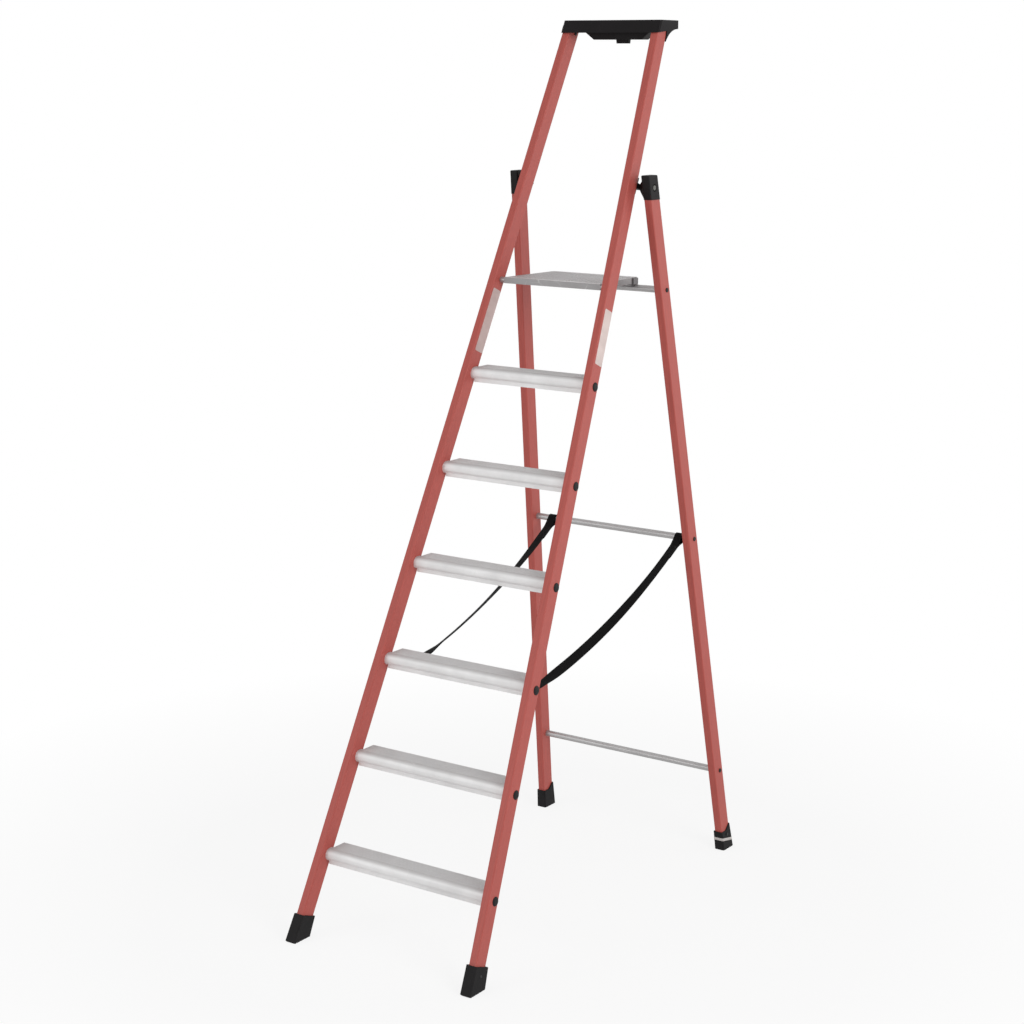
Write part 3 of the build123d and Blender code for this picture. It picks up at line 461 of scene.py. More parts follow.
# Steel of the fasteners: zinc plated, blackened, and the dull bolt heads
platedSet = {"toneScale": 160.0, "grain": 2600.0, "relief": (0.12, 0.0001)}
steelSet = {
    **platedSet,
    "bright": (0.42, 0.41, 0.40),
    "grey": (0.27, 0.265, 0.26),
    "gloss": (0.30, 0.48),
    "metallic": 0.9,
}
blackSteelSet = {
    **platedSet,
    "bright": (0.026, 0.025, 0.025),
    "grey": (0.012, 0.011, 0.011),
    "gloss": (0.38, 0.55),
    "metallic": 0.5,
}
boltSteelSet = {
    **platedSet,
    "bright": (0.130, 0.132, 0.120),
    "grey": (0.075, 0.076, 0.070),
    "gloss": (0.40, 0.56),
    "metallic": 0.7,
}


def makeSteel(name, spec):
    material, tree, shader = startMaterial(name)
    tone = useGroup(tree, slowTone, Scale=spec["toneScale"])["Tone"]
    grain = useGroup(tree, mouldGrain, Scale=spec["grain"])["Height"]
    colour = mixColours(tree, tone, spec["grey"], spec["bright"])
    dressShader(tree, shader, spec, colour, mapValue(tree, tone, *spec["gloss"]), grain)
    return material


# Black webbing: a plain weave laid on the strap's own map, in metres along and across
webbingSet = {
    "thread": (0.0038, 0.0036, 0.0038),
    "gap": (0.0010, 0.0010, 0.0010),
    "fuzz": (0.0085, 0.0080, 0.0083),
    "weave": {"Brick Width": 0.0024, "Row Height": 0.0013, "Mortar Size": 0.00022},
    "fuzzScale": 2400.0,
    "fuzzRange": (0.35, 0.7),
    "toneScale": 60.0,
    "toneShare": 0.4,
    "gloss": (0.62, 0.85),
    "sheen": 0.03,
    "specular": 0.06,
    "relief": (0.6, 0.0004),
}


def makeWebbing(name, spec):
    material, tree, shader = startMaterial(name)
    own = addNode(tree, "ShaderNodeUVMap", uv_map="clothMap").outputs["UV"]
    laid = {"Vector": own, "Scale": 1.0, "Mortar Smooth": 1.0, **spec["weave"]}
    gaps = addNode(tree, "ShaderNodeTexBrick", laid, offset=0.5, squash=1.0).outputs["Fac"]
    hairs = {"Vector": own, "Scale": spec["fuzzScale"], "Detail": 2.0}
    fuzz = addNode(tree, "ShaderNodeTexNoise", hairs).outputs["Fac"]
    tone = useGroup(tree, slowTone, Scale=spec["toneScale"])["Tone"]
    hairy = mapValue(tree, fuzz, 0.0, 1.0, *spec["fuzzRange"])
    yarn = mixColours(tree, hairy, spec["thread"], spec["fuzz"])
    dulled = mixColours(tree, mapValue(tree, tone, 0.0, spec["toneShare"]), yarn, spec["thread"])
    colour = mixColours(tree, gaps, dulled, spec["gap"])
    raised = mathNode(tree, "SUBTRACT", 1.0, gaps)
    dressShader(tree, shader, spec, colour, mapValue(tree, fuzz, *spec["gloss"]), raised)
    return material


# Twisted sewing thread
threadSet = {
    "light": (0.020, 0.019, 0.020),
    "dark": (0.007, 0.0066, 0.007),
    "twistScale": 900.0,
    "gloss": (0.5, 0.75),
    "relief": (0.3, 0.0002),
}


def makeThread(name, spec):
    material, tree, shader = startMaterial(name)
    twist = useGroup(tree, slowTone, Scale=spec["twistScale"])["Tone"]
    colour = mixColours(tree, twist, spec["dark"], spec["light"])
    dressShader(tree, shader, spec, colour, mapValue(tree, twist, *spec["gloss"]), twist)
    return material


stileFiber = makeFiberglass("stileFiberglass", frontSlope, fiberglassSet)
legFiber = makeFiberglass("legFiberglass", rearSlope, fiberglassSet)
treadMetal = makeAluminium("treadAluminium", treadMetalSet)
platformMetal = makeAluminium("platformAluminium", platformMetalSet)
barMetal = makeAluminium("barAluminium", barMetalSet)
hookMetal = makeAluminium("hookAluminium", hookMetalSet)
trayPlastic = makeMoulding("trayPlastic", trayPlasticSet)
capPlastic = makeMoulding("capPlastic", capPlasticSet)
shoeRubber = makeMoulding("shoeRubber", shoeRubberSet)
plateCoat = makeMoulding("blackPlateCoat", plateCoatSet)
plugPlastic = makeMoulding("plugPlastic", plugPlasticSet)
plainSteel = makeSteel("zincSteel", steelSet)
blackSteel = makeSteel("blackenedSteel", blackSteelSet)
boltSteel = makeSteel("dullBoltSteel", boltSteelSet)
strapWeb = makeWebbing("strapWebbing", webbingSet)
sewThread = makeThread("sewingThread", threadSet)
leftShadedFilm = makeMoulding("leftFilmPaintedShade", leftShadedFilmSet)
rightFilm = makeMoulding("rightBlankFilm", rightFilmSet)
paleRubber = makeMoulding("paleShoeRing", ringSet)
print("materials built")

finishOf = {
    stileFiber: ["left_front_stile", "right_front_stile"],
    legFiber: ["left_rear_leg", "right_rear_leg"],
    treadMetal: [name for name in nodes if name.startswith("tread_")],
    platformMetal: ["platform_deck"],
    barMetal: ["upper_rear_bar", "middle_rear_bar", "lower_rear_bar", "platform_spacers"],
    hookMetal: ["left_platform_hook", "right_platform_hook"],
    trayPlastic: ["tool_tray"],
    capPlastic: ["left_hinge_cap", "right_hinge_cap"],
    shoeRubber: ["left_front_foot", "right_front_foot", "left_rear_foot", "right_rear_foot"],
    plateCoat: ["left_hinge_bracket", "right_hinge_bracket", "strap_clamps"],
    plainSteel: ["platform_rod", "hook_rivets"],
    blackSteel: ["hinge_washers", "hinge_nuts"],
    boltSteel: ["left_hinge_bolt", "right_hinge_bolt"],
}
for material, names in finishOf.items():
    for name in names:
        for place in nodes[name].material_slots:
            place.material = material
print("finishes given to the kept parts")


# Mesh helpers
def makePiece(name, mesh, material):
    piece = bpy.data.objects.new(name, mesh)
    scene.collection.objects.link(piece)
    mesh.materials.append(material)
    return piece


def ringMesh(name, rings, ends="both"):
    # a skin over rings of points; ends says which of them are filled, or that they are joined
    rows, count = len(rings), len(rings[0])
    faces = []
    for row in range(rows if ends == "joined" else rows - 1):
        here, there = row * count, (row + 1) % rows * count
        for spot in range(count):
            after = (spot + 1) % count
            faces.append((here + spot, here + after, there + after, there + spot))
    if ends in ("both", "first"):
        faces.append(tuple(reversed(range(count))))
    if ends == "both":
        faces.append(tuple(range((rows - 1) * count, rows * count)))
    mesh = bpy.data.meshes.new(name)
    mesh.from_pydata([point for ring in rings for point in ring], [], faces)
    return mesh


def turnOutward(mesh, weld=0.0, smooth=True):
    work = bmesh.new()
    work.from_mesh(mesh)
    if weld:
        bmesh.ops.remove_doubles(work, verts=work.verts, dist=weld)
    bmesh.ops.recalc_face_normals(work, faces=work.faces)
    work.to_mesh(mesh)
    work.free()
    for polygon in mesh.polygons:
        polygon.use_smooth = smooth


def mergeMeshes(name, meshes):
    work = bmesh.new()
    for mesh in meshes:
        work.from_mesh(mesh)
    merged = bpy.data.meshes.new(name)
    work.to_mesh(merged)
    work.free()
    for mesh in meshes:
        bpy.data.meshes.remove(mesh)
    return merged


def roundedOutline(halfWide, halfTall, corner, steps):
    # a rectangle with round corners, as (wide, tall) pairs
    outline = []
    for quarter, (right, up) in enumerate(((1, 1), (-1, 1), (-1, -1), (1, -1))):
        for step in range(steps + 1):
            angle = math.radians(90 * (quarter + step / steps))
            wide = right * (halfWide - corner) + corner * math.cos(angle)
            tall = up * (halfTall - corner) + corner * math.sin(angle)
            outline.append((wide, tall))
    return outline


# Webbing straps: one continuous piece on each side, from the third tread to the middle bar
strapSet = {
    "left": {
        "side": -1,
        "barX": 0.193,
        "roll": 32.0,
        "rollIn": (0.05, 0.17),
        "rollOut": (0.42, 1.0),
    },
    "right": {
        "side": 1,
        "barX": 0.226,
        "roll": 38.0,
        "rollIn": (0.0, 0.15),
        "rollOut": (0.30, 0.85),
    },
    "bar": (0.460406, 0.934),
    "width": 0.025,
    "thick": 0.0019,
    "sag": 0.0345,
    "split": 0.29,
    "foldReach": 0.038,
    "steps": 200,
    "loopRadius": 0.01015,
    "loopSteps": 64,
    "spread": 0.034,
    "spreadSoft": 0.0035,
    "sewnTo": 0.084,
    "sewnSteps": 40,
    "layerStep": 0.93,
    "tail": 0.069,
    "tailSteps": 24,
    "sealedEnd": 0.82,
    "mapShift": 0.02,
}
# the strap's cut across, in shares of its width and thickness, with a bead along each edge
edgeProfile = [
    (-0.500, 0.00), (-0.492, 0.38), (-0.470, 0.52), (-0.430, 0.46), (-0.20, 0.46),
    (0.0, 0.46), (0.20, 0.46), (0.430, 0.46), (0.470, 0.52), (0.492, 0.38),
    (0.500, 0.00), (0.492, -0.38), (0.470, -0.52), (0.430, -0.46), (0.20, -0.46),
    (0.0, -0.46), (-0.20, -0.46), (-0.430, -0.46), (-0.470, -0.52), (-0.492, -0.38),
]
acrossMap = [x * strapSet["width"] + strapSet["mapShift"] for x, z in edgeProfile]
loopEnd = strapSet["loopRadius"] ** 2 / strapSet["spread"]


def strapLine(word):
    # the shallow arc that a strap hangs in, from its clamp to the bar
    spec, sag = strapSet[word], strapSet["sag"]
    front = jointPlaces[f"{word}_strap_swing"]
    bar = Vector((spec["side"] * spec["barX"], *strapSet["bar"]))
    run = (bar - front).length
    along = (bar - front).normalized()
    level = along.cross(Vector((0, 0, 1))).normalized()
    radius = (run * run / 4 + sag * sag) / (2 * sag)
    half = math.asin(run / 2 / radius)
    return {
        **spec,
        "front": front,
        "bar": bar,
        "along": along,
        "level": level,
        "upward": level.cross(along),
        "run": run,
        "radius": radius,
        "half": half,
        "length": 2 * half * radius,
    }


strapLines = {word: strapLine(word) for word in ("left", "right")}


def easeStep(value, low, high):
    share = min(1.0, max(0.0, (value - low) / (high - low)))
    return share * share * (3 - 2 * share)


def strapStation(word, fraction):
    # point, across and normal at a fraction of the length; the strap rolls over and back
    line = strapLines[word]
    turn = (2 * fraction - 1) * line["half"]
    point = line["front"] + line["along"] * (line["run"] / 2 + line["radius"] * math.sin(turn))
    point = point + line["upward"] * (line["radius"] * (1 - math.cos(turn)) - strapSet["sag"])
    tangent = line["along"] * math.cos(turn) + line["upward"] * math.sin(turn)
    rolled = easeStep(fraction, *line["rollIn"]) * (1 - easeStep(fraction, *line["rollOut"]))
    roll = math.radians(line["roll"]) * rolled
    tipped = line["level"].cross(tangent) * (line["side"] * math.sin(roll))
    across = line["level"] * math.cos(roll) - tipped
    return point, across, across.cross(tangent)


def loopLift(distance):
    # how far a layer stands off the strap's line near the bar, where it opens round it
    radius, start, soft = strapSet["loopRadius"], strapSet["spread"], strapSet["spreadSoft"]
    steep = math.sqrt(1 - (radius / start) ** 2) * radius / (start - radius * radius / start)
    return steep * soft * math.log1p(math.exp((start - distance) / soft))


def sewnLift(distance):
    return -strapSet["thick"] * strapSet["layerStep"] - loopLift(distance)


def webRing(point, across, normal, lift=0.0, pinch=1.0):
    width, thick = strapSet["width"], strapSet["thick"] * pinch
    return [point + across * (x * width) + normal * (lift + z * thick) for x, z in edgeProfile]


def webMesh(name, rings, lengths, ends="both"):
    # a strip of webbing with its own map, lengths in metres along it
    mesh = ringMesh(name, rings, ends)
    cloth = mesh.uv_layers.new(name="clothMap")
    for corner in mesh.loops:
        row, spot = divmod(corner.vertex_index, len(edgeProfile))
        cloth.data[corner.index].uv = (lengths[row], acrossMap[spot])
    return mesh


def strapLayer(name, word, first, last, steps, liftOf):
    rings, lengths = [], []
    length = strapLines[word]["length"]
    for step in range(steps + 1):
        fraction = first + (last - first) * step / steps
        rings.append(webRing(*strapStation(word, fraction), liftOf((1 - fraction) * length)))
        lengths.append(fraction * length)
    return webMesh(name, rings, lengths)


def makeStrap(name, word):
    # the strap and its sewn return, and the two points between which it bends
    length = strapLines[word]["length"]
    sewn, last = 1 - strapSet["sewnTo"] / length, 1 - loopEnd / length
    top = strapLayer(f"{name}Top", word, 0.0, last, strapSet["steps"], loopLift)
    below = strapLayer(f"{name}Sewn", word, sewn, last, strapSet["sewnSteps"], sewnLift)
    mesh = mergeMeshes(name, [top, below])
    turnOutward(mesh)
    reach = strapSet["foldReach"] / length
    start = strapStation(word, strapSet["split"] - reach)[0]
    end = strapStation(word, strapSet["split"] + reach)[0]
    return makePiece(name, mesh, strapWeb), start, end


def makeLoop(name, word):
    # the turn of webbing round the middle bar; its last ring lies on the first and is welded to it
    centre, radius, steps = strapLines[word]["bar"], strapSet["loopRadius"], strapSet["loopSteps"]
    rings, lengths = [], []
    for step in range(steps + 1):
        angle = 2 * math.pi * step / steps
        outward = Vector((0, math.cos(angle), math.sin(angle)))
        rings.append(webRing(centre + outward * radius, Vector((1, 0, 0)), outward))
        lengths.append(angle * radius)
    mesh = webMesh(name, rings, lengths, ends="open")
    turnOutward(mesh, weld=1e-6)
    return makePiece(name, mesh, strapWeb)


def makeTails(name):
    # the strap ends that lie flat under the third tread, with a cut and sealed end
    tail, steps = strapSet["tail"], strapSet["tailSteps"]
    meshes = []
    for word, line in strapLines.items():
        rings, lengths = [], []
        for step in range(steps + 1):
            back = tail * (1 - step / steps)
            spot = line["front"] - Vector((0, back, 0))
            pinch = 1.0 if step else strapSet["sealedEnd"]
            rings.append(webRing(spot, Vector((1, 0, 0)), Vector((0, 0, 1)), pinch=pinch))
            lengths.append(tail - back)
        meshes.append(webMesh(f"{name}{word}", rings, lengths))
    mesh = mergeMeshes(name, meshes)
    turnOutward(mesh)
    return makePiece(name, mesh, strapWeb)


# Geometry trees end alike: the instances are made real and given their finish
def endTree(tree, laid, finish, end):
    real = addNode(tree, "GeometryNodeRealizeInstances", {"Geometry": laid.outputs["Instances"]})
    painting = {"Geometry": real.outputs["Geometry"], "Material": finish}
    painted = addNode(tree, "GeometryNodeSetMaterial", painting)
    feed(tree, end["Geometry"], painted.outputs["Geometry"])


# Geometry tree: stitches laid along a seam line
stitchSet = {"Spacing": 0.0036, "Length": 0.0027, "Width": 0.0008}


def makeStitchTree():
    inputs = {"Geometry": "Geometry", **stitchSet, "Thread": "Material"}
    outputs = {"Geometry": "Geometry"}
    tree, start, end = startTree("seamStitches", "GeometryNodeTree", inputs, outputs)
    line = addNode(tree, "GeometryNodeMeshToCurve", {"Mesh": start["Geometry"]})
    spacing = {"Curve": line.outputs["Curve"], "Length": start["Spacing"]}
    spaced = addNode(tree, "GeometryNodeCurveToPoints", spacing, mode="LENGTH")
    bead = addNode(tree, "GeometryNodeMeshUVSphere", {"Segments": 8, "Rings": 6, "Radius": 0.5})
    sizes = {"X": start["Width"], "Y": start["Width"], "Z": start["Length"]}
    size = addNode(tree, "ShaderNodeCombineXYZ", sizes)
    tangent = {"Vector": spaced.outputs["Tangent"]}
    turned = addNode(tree, "FunctionNodeAlignRotationToVector", tangent, axis="Z")
    laid = addNode(tree, "GeometryNodeInstanceOnPoints", {
        "Points": spaced.outputs["Points"],
        "Instance": bead.outputs["Mesh"],
        "Rotation": turned.outputs["Rotation"],
        "Scale": size.outputs["Vector"],
    })
    endTree(tree, laid, start["Thread"], end)
    return tree


# Geometry tree: the same head set on every point, along that point's own axis
def makeHeadTree():
    inputs = {"Geometry": "Geometry", "Head": "Object", "Size": 1.0, "Finish": "Material"}
    outputs = {"Geometry": "Geometry"}
    tree, start, end = startTree("fastenerHeads", "GeometryNodeTree", inputs, outputs)
    spots = addNode(tree, "GeometryNodeMeshToPoints", {"Mesh": start["Geometry"]})
    shape = addNode(tree, "GeometryNodeObjectInfo", {"Object": start["Head"]})
    named = {"Name": "axis"}
    axis = addNode(tree, "GeometryNodeInputNamedAttribute", named, data_type="FLOAT_VECTOR")
    facing = {"Vector": axis.outputs["Attribute"]}
    turned = addNode(tree, "FunctionNodeAlignRotationToVector", facing, axis="Z")
    laid = addNode(tree, "GeometryNodeInstanceOnPoints", {
        "Points": spots.outputs["Points"],
        "Instance": shape.outputs["Geometry"],
        "Rotation": turned.outputs["Rotation"],
        "Scale": start["Size"],
    })
    endTree(tree, laid, start["Finish"], end)
    return tree


stitchTree = makeStitchTree()
headTree = makeHeadTree()


def runTree(name, mesh, tree, values, material):
    # run a tree on a base mesh and keep only the plain result
    base = bpy.data.objects.new(f"{name}Base", mesh)
    scene.collection.objects.link(base)
    modifier = base.modifiers.new("tree", "NODES")
    modifier.node_group = tree
    for item in tree.interface.items_tree:
        if item.in_out == "INPUT" and item.name in values:
            modifier[item.identifier] = values[item.name]
    graph = bpy.context.evaluated_depsgraph_get()
    result = bpy.data.meshes.new_from_object(base.evaluated_get(graph), depsgraph=graph)
    base.modifiers.remove(modifier)
    bpy.data.objects.remove(base)
    bpy.data.meshes.remove(mesh)
    result.name = name
    result.materials.clear()
    for polygon in result.polygons:
        polygon.use_smooth = True
        polygon.material_index = 0
    return makePiece(name, result, material)


# Sewing: a box with a cross in it, on both sides of the strap's return
sewSet = {"near": 0.040, "far": 0.080, "half": 0.0095, "steps": 12, "lift": 0.50}


def seamPoints(word, marks, lift):
    # marks: (distance from the bar, place across the strap), walked in short steps
    length, steps = strapLines[word]["length"], sewSet["steps"]
    walked = []
    for first, second in zip(marks, marks[1:]):
        for step in range(steps):
            walked.append([a + (b - a) * step / steps for a, b in zip(first, second)])
    walked.append(marks[-1])
    points = []
    for distance, place in walked:
        point, across, normal = strapStation(word, 1 - distance / length)
        points.append(point + across * place + normal * lift)
    return points


def makeSeam(name, word):
    near, far, half = sewSet["near"], sewSet["far"], sewSet["half"]
    boxed = [(near, -half), (far, -half), (far, half), (near, half), (near, -half), (far, half)]
    crossed = [(near, half), (far, -half)]
    points, edges = [], []
    for share in (sewSet["lift"], -sewSet["lift"] - strapSet["layerStep"]):
        for marks in (boxed, crossed):
            start = len(points)
            points.extend(seamPoints(word, marks, strapSet["thick"] * share))
            edges.extend((spot, spot + 1) for spot in range(start, len(points) - 1))
    mesh = bpy.data.meshes.new(f"{name}Line")
    mesh.from_pydata(points, edges, [])
    return runTree(name, mesh, stitchTree, {**stitchSet, "Thread": sewThread}, sewThread)


for word in strapLines:
    strap, bendStart, bendEnd = makeStrap(f"{word}WebStrap", word)
    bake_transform(strap)
    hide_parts(f"{word}_strap_lower", f"{word}_strap_upper")
    loop = makeLoop(f"{word}WebLoop", word)
    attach(loop, "rear_frame")
    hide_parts(f"{word}_strap_loop")
    seam = makeSeam(f"{word}StrapSeam", word)
    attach(seam, f"{word}_strap_rear_run")
tails = makeTails("webTails")
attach(tails, "front_frame")
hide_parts("strap_tails")
print("straps laid,", [round(line["length"], 4) for line in strapLines.values()], "m")

# Fastener heads, turned on a lathe line of (radius, height) rings; a third number makes a ring
# with so many sides, as in a socket
headSet = {
    "rivet": [
        (0.0045, 0.0), (0.0044, 0.0006), (0.0037, 0.0013), (0.0026, 0.0017),
        (0.0015, 0.0018), (0.0012, 0.0012), (0.0, 0.0011),
    ],
    "plug": [
        (0.0120, 0.0), (0.0120, 0.0009), (0.0116, 0.0014), (0.0102, 0.0016), (0.0098, 0.0013),
        (0.0093, 0.0016), (0.0070, 0.0020), (0.0035, 0.0022), (0.0, 0.0022),
    ],
    "screw": [
        (0.0060, 0.0), (0.0060, 0.0012), (0.0055, 0.0022), (0.0044, 0.0029),
        (0.0030, 0.0030), (0.0024, 0.0030, 6), (0.0022, 0.0010, 6), (0.0, 0.0008),
    ],
}
headSteps = 24


def headRing(radius, height, sides=0):
    ring = []
    for step in range(headSteps):
        angle, reach = 2 * math.pi * step / headSteps, radius
        if sides:
            sector = 2 * math.pi / sides
            reach = radius / math.cos((angle + sector / 2) % sector - sector / 2)
        ring.append((reach * math.cos(angle), reach * math.sin(angle), height))
    return ring


def setHeads(name, shape, spots, material):
    # spots: (place, axis) pairs
    mesh = bpy.data.meshes.new(f"{name}Spots")
    mesh.from_pydata([spot for spot, axis in spots], [], [])
    axes = mesh.attributes.new("axis", "FLOAT_VECTOR", "POINT")
    for index, (spot, axis) in enumerate(spots):
        axes.data[index].vector = axis
    headMesh = ringMesh(f"{name}Shape", [headRing(*ring) for ring in headSet[shape]], ends="first")
    turnOutward(headMesh, weld=1e-7)
    head = makePiece(f"{name}Shape", headMesh, material)
    values = {"Head": head, "Size": 1.0, "Finish": material}
    piece = runTree(name, mesh, headTree, values, material)
    bpy.data.objects.remove(head)
    bpy.data.meshes.remove(headMesh)
    return piece


def sideSpot(which, side, height, offset, back=0.0, facing=1):
    # a spot on the outer side of a stile or leg, or on its inner side where facing is -1
    centre, across, rearward, rise = memberFrame(which, side, height)
    outward = across * (side * facing)
    return centre + outward * offset + rearward * back, outward


def faceSpot(which, side, y, z):
    # where a line along X meets the outer face of a stile or leg
    centre, across, rearward, rise = memberFrame(which, side, z)
    normal = across * side
    point = centre + normal * (memberSet["width"] / 2)
    reach = normal.dot(point - Vector((0, y, z))) / normal.x
    return Vector((reach, y, z)), normal


# Plugs at the tread ends and screws at the bar ends
treadSet = {
    "low": 0.189,
    "pitch": 0.240,
    "count": 6,
    "strapOn": 2,  # the straps' tread, counted from 0
    "setback": 0.0286,
    "tubeBack": 0.010,
    "tubeUp": 0.0135,
}
barSet = {"heights": (1.626, 0.934, 0.241), "back": 0.028, "headRadius": 0.006}
bothSides = (-1, 1)


def treadFront(height):
    return frontStart + frontSlope * height + treadSet["setback"]


plugSpots = []
for number in range(treadSet["count"]):
    base = treadSet["low"] + treadSet["pitch"] * number
    tube = (treadFront(base) + treadSet["tubeBack"], base + treadSet["tubeUp"])
    plugSpots.extend(faceSpot("front", side, *tube) for side in bothSides)

barSpots = []
barBack = barSet["back"] / rearStretch
for height in barSet["heights"]:
    y = rearStart + rearSlope * (height + rearSlope * barBack) + barBack
    for side in bothSides:
        spot, normal = faceSpot("rear", side, y, height)
        spot.x += side * barSet["headRadius"] * memberSet["rear"]["taper"]
        barSpots.append((spot, Vector((side, 0, 0))))

# Rivets and screws of shoes, caps, hinges, clamps and tray; shoes and tray as (height, offset)
smallSet = {
    "frontShoe": (0.048, 0.016),
    "rearShoe": (0.040, 0.0155),
    "capHeight": 1.872,
    "capBack": 0.0232,
    "bracketInset": 0.007,
    "bracketFace": -0.0075,
    "bracketReach": 0.0155,
    "clampBack": 0.033,
    "clampLow": 0.66395,
    "clampReach": 0.008,
    "tray": (2.302, 0.0135),
    "trayBacks": (-0.012, 0.006),
}
hinge = jointPlaces["rear_fold"]
hingeOut = Vector((0.0, 1.0, -frontSlope)).normalized()
hingeAlong = Vector((0.0, frontSlope, 1.0)).normalized()
strapTread = treadSet["low"] + treadSet["strapOn"] * treadSet["pitch"]
clampY = treadFront(strapTread) + smallSet["clampBack"]
shoeSpots, bracketSpots, clampSpots, traySpots, rearSpots = [], [], [], [], []
for line in strapLines.values():
    side = line["side"]
    shoeSpots.append(sideSpot("front", side, *smallSet["frontShoe"]))
    rearSpots.append(sideSpot("rear", side, *smallSet["rearShoe"]))
    centre, across, rearward, rise = memberFrame("rear", side, smallSet["capHeight"])
    rearSpots.append((centre + rearward * smallSet["capBack"], rearward))
    plate = faceSpot("front", side, hinge.y, hinge.z)[0] + hingeOut * smallSet["bracketFace"]
    plate.x -= side * smallSet["bracketInset"]
    clamp = Vector((line["front"].x, clampY, smallSet["clampLow"]))
    for way in bothSides:
        bracketSpots.append((plate + hingeAlong * (way * smallSet["bracketReach"]), hingeOut))
        shift = Vector((way * smallSet["clampReach"], 0, 0))
        clampSpots.append((clamp + shift, Vector((0, 0, -1))))
    for back in smallSet["trayBacks"]:
        traySpots.append(sideSpot("front", side, *smallSet["tray"], back, -1))


def fitHeads(name, shape, spots, material, body, slotName, *replaced):
    heads = setHeads(name, shape, spots, material)
    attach(heads, body)
    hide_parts(*replaced)


plugFit = ("front_frame", "black_plastic", "stile_plugs")
fitHeads("stilePlugHeads", "plug", plugSpots, plugPlastic, *plugFit)
frontRivets = {
    "shoeRivetHeads": (shoeSpots, "front_foot_rivets"),
    "bracketRivetHeads": (bracketSpots, "bracket_rivets"),
    "clampRivetHeads": (clampSpots, "strap_rivets"),
    "trayScrewHeads": (traySpots, "tray_screws"),
}
for name, (spots, replaced) in frontRivets.items():
    fitHeads(name, "rivet", spots, blackSteel, "front_frame", "steel", replaced)
rearFit = ("rear_frame", "steel", "rear_foot_rivets", "cap_rivets")
fitHeads("rearRivetHeads", "rivet", rearSpots, blackSteel, *rearFit)
fitHeads("barScrewHeads", "screw", barSpots, blackSteel, "rear_frame", "steel", "bar_screws")
print("fastener heads set")

# Blank film strips on the stiles: the left one on the inner side, the right one on the outer
stripSet = {
    "left": {"side": -1, "facing": -1, "low": 1.472, "high": 1.632, "back": 0.0020},
    "right": {"side": 1, "facing": 1, "low": 1.466, "high": 1.601, "back": 0.0025},
    "width": 0.0345,
    "corner": 0.004,
    "cornerSteps": 6,
    "thick": 0.0003,
    "layers": ((1.0, 0.0), (1.0, 0.7), (0.994, 1.0)),
}


def makeFilmStrip(name, spec, material):
    middle = (spec["low"] + spec["high"]) / 2
    centre, across, rearward, rise = memberFrame("front", spec["side"], middle)
    outward = across * (spec["side"] * spec["facing"])
    face = centre + outward * (memberSet["width"] / 2) + rearward * spec["back"]
    halfLong = (spec["high"] - spec["low"]) / 2 / rise.z
    corner, steps = stripSet["corner"], stripSet["cornerSteps"]
    outline = roundedOutline(stripSet["width"] / 2, halfLong, corner, steps)
    rings = []
    for shrink, share in stripSet["layers"]:
        base = face + outward * (stripSet["thick"] * share)
        sideways, upright = rearward * shrink, rise * shrink
        rings.append([base + sideways * wide + upright * tall for wide, tall in outline])
    mesh = ringMesh(name, rings)
    turnOutward(mesh, smooth=False)
    return makePiece(name, mesh, material)


for word, material in (("left", leftShadedFilm), ("right", rightFilm)):
    film = makeFilmStrip(f"{word}FilmStrip", stripSet[word], material)
    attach(film, "front_frame")
print("film strips laid")

# Pale ring round the right rear shoe, on the shoe's own leaning outline
shoeRingSet = {
    "low": 0.0235,
    "high": 0.0325,
    "dip": 0.20,
    "proud": 0.0005,
    "crest": 1.15,
    "tuck": 0.0006,
    "top": 0.071,
    "cornerSteps": 8,
    "sole": {
        "x": 0.3085,
        "front": -0.0045,
        "rear": 0.044,
        "heel": 0.007,
        "wide": 0.031,
        "corner": 0.005,
    },
    "crown": {"wall": 0.003, "wide": 0.028, "corner": 0.004},
}


def shoeOutline(z, grow):
    # the rear shoe's outline at a height, between its sole and the top of its tab
    sole, crown, top = shoeRingSet["sole"], shoeRingSet["crown"], shoeRingSet["top"]
    lean = rearStart + rearSlope * top
    heel = rearStart + sole["rear"] * rearStretch + sole["heel"]
    low = (sole["x"], rearStart + sole["front"], heel, sole["wide"], sole["corner"])
    high = (
        sole["x"] - memberSet["rear"]["taper"] * top,
        lean - crown["wall"] * rearStretch,
        lean + (sole["rear"] + crown["wall"]) * rearStretch,
        crown["wide"],
        crown["corner"],
    )
    x, front, rear, wide, corner = [a + (b - a) * z / top for a, b in zip(low, high)]
    middle = Vector((x, (front + rear) / 2, z))
    halves = (wide / 2 + grow, (rear - front) / 2 + grow)
    outline = roundedOutline(*halves, corner + grow, shoeRingSet["cornerSteps"])
    return [middle + Vector((across, deep, 0)) for across, deep in outline]


def dippedOutline(z, grow):
    # the same outline, lower towards the heel
    level = shoeOutline(z, grow)
    middle = sum(point.y for point in level) / len(level)
    heights = [z - shoeRingSet["dip"] * (point.y - middle) for point in level]
    return [shoeOutline(height, grow)[spot] for spot, height in enumerate(heights)]


def makeShoeRing(name):
    low, high = shoeRingSet["low"], shoeRingSet["high"]
    proud, tuck = shoeRingSet["proud"], shoeRingSet["tuck"]
    rows = (
        (low, -tuck),
        (low + tuck, proud),
        ((low + high) / 2, proud * shoeRingSet["crest"]),
        (high - tuck, proud),
        (high, -tuck),
    )
    mesh = ringMesh(name, [dippedOutline(z, grow) for z, grow in rows], ends="joined")
    turnOutward(mesh)
    return makePiece(name, mesh, paleRubber)


shoeRing = makeShoeRing("rightShoeRing")
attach(shoeRing, "rear_frame")
print("shoe ring laid")

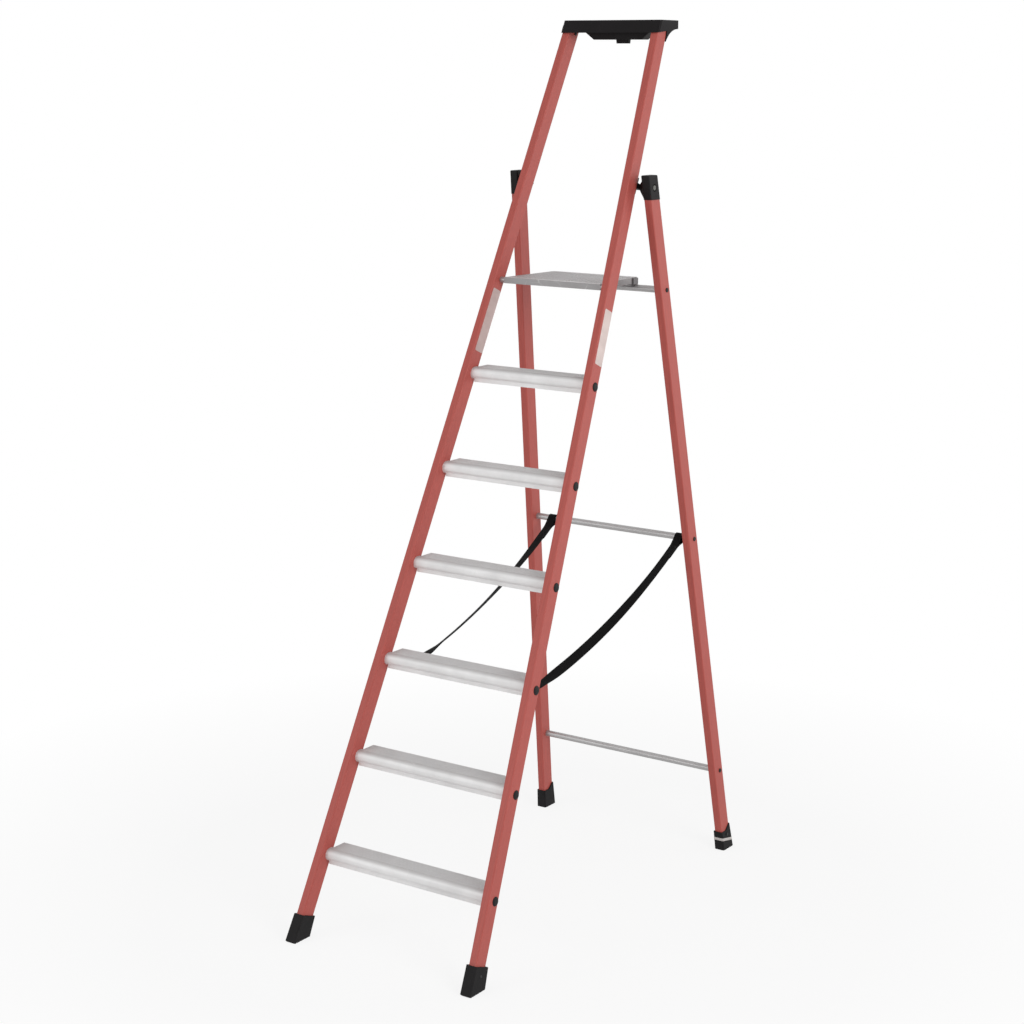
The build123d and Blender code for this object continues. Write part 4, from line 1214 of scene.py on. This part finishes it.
# Pale floor and soft studio light
stageSet = {
    "floorSize": 120.0,
    "floorColour": (0.86, 0.86, 0.86, 1.0),
    "floorRough": 0.9,
    "whiteShare": (0.85, 1.0),
    "shadowReach": (1.0, 2.2),
    "ambient": 0.48,
    "lamps": {
        "key": {"place": (5.2, -1.6, 3.4), "aim": (0.0, 0.0, 1.1), "size": 3.2, "power": 125.0},
        "fill": {"place": (-2.4, -5.2, 2.4), "aim": (0.0, 0.0, 1.0), "size": 3.0, "power": 64.0},
        "side": {"place": (4.4, 4.2, 1.6), "aim": (0.0, 0.0, 1.1), "size": 3.0, "power": 45.0},
    },
}


def whiteRays(tree):
    # camera, mirror and see-through rays all meet the white background
    rays = addNode(tree, "ShaderNodeLightPath").outputs
    glossy = mathNode(tree, "MAXIMUM", rays["Is Camera Ray"], rays["Is Glossy Ray"])
    return mathNode(tree, "MAXIMUM", glossy, rays["Is Transmission Ray"])


def makeFloor(spec):
    # the floor keeps the shadow near the ladder and is plain white further out
    half = spec["floorSize"] / 2
    corners = [(-half, -half, 0), (half, -half, 0), (half, half, 0), (-half, half, 0)]
    mesh = bpy.data.meshes.new("studioFloor")
    mesh.from_pydata(corners, [], [(0, 1, 2, 3)])
    material, tree, shader = startMaterial("paleFloor")
    shader.inputs["Base Color"].default_value = spec["floorColour"]
    shader.inputs["Roughness"].default_value = spec["floorRough"]
    shader.inputs["Specular IOR Level"].default_value = 0.0
    glow = addNode(tree, "ShaderNodeEmission", {"Strength": 1.0})
    away = addNode(tree, "ShaderNodeVectorMath", {0: ownPlace(tree)}, operation="LENGTH")
    further = mapValue(tree, away.outputs["Value"], *spec["whiteShare"], *spec["shadowReach"])
    white = mathNode(tree, "MULTIPLY", whiteRays(tree), further)
    both = {0: white, 1: shader.outputs["BSDF"], 2: glow.outputs["Emission"]}
    mix = addNode(tree, "ShaderNodeMixShader", both)
    feed(tree, tree.nodes["Material Output"].inputs["Surface"], mix.outputs["Shader"])
    return makePiece("studioFloor", mesh, material)


def makeWorld(spec):
    world = bpy.data.worlds.new("studioWorld")
    scene.world = world
    world.use_nodes = True
    tree = world.node_tree
    back = tree.nodes["Background"]
    back.inputs["Color"].default_value = (1.0, 1.0, 1.0, 1.0)
    feed(tree, back.inputs["Strength"], mapValue(tree, whiteRays(tree), spec["ambient"], 1.0))


def makeLamp(name, spec):
    data = bpy.data.lights.new(name, "AREA")
    data.shape = "DISK"
    data.size = spec["size"]
    data.energy = spec["power"]
    light = bpy.data.objects.new(name, data)
    scene.collection.objects.link(light)
    light.location = spec["place"]
    aim = Vector(spec["aim"]) - Vector(spec["place"])
    light.rotation_euler = aim.to_track_quat("-Z", "Y").to_euler()


floor = makeFloor(stageSet)
makeWorld(stageSet)
for word, lamp in stageSet["lamps"].items():
    makeLamp(f"{word}Lamp", lamp)
print("studio set")
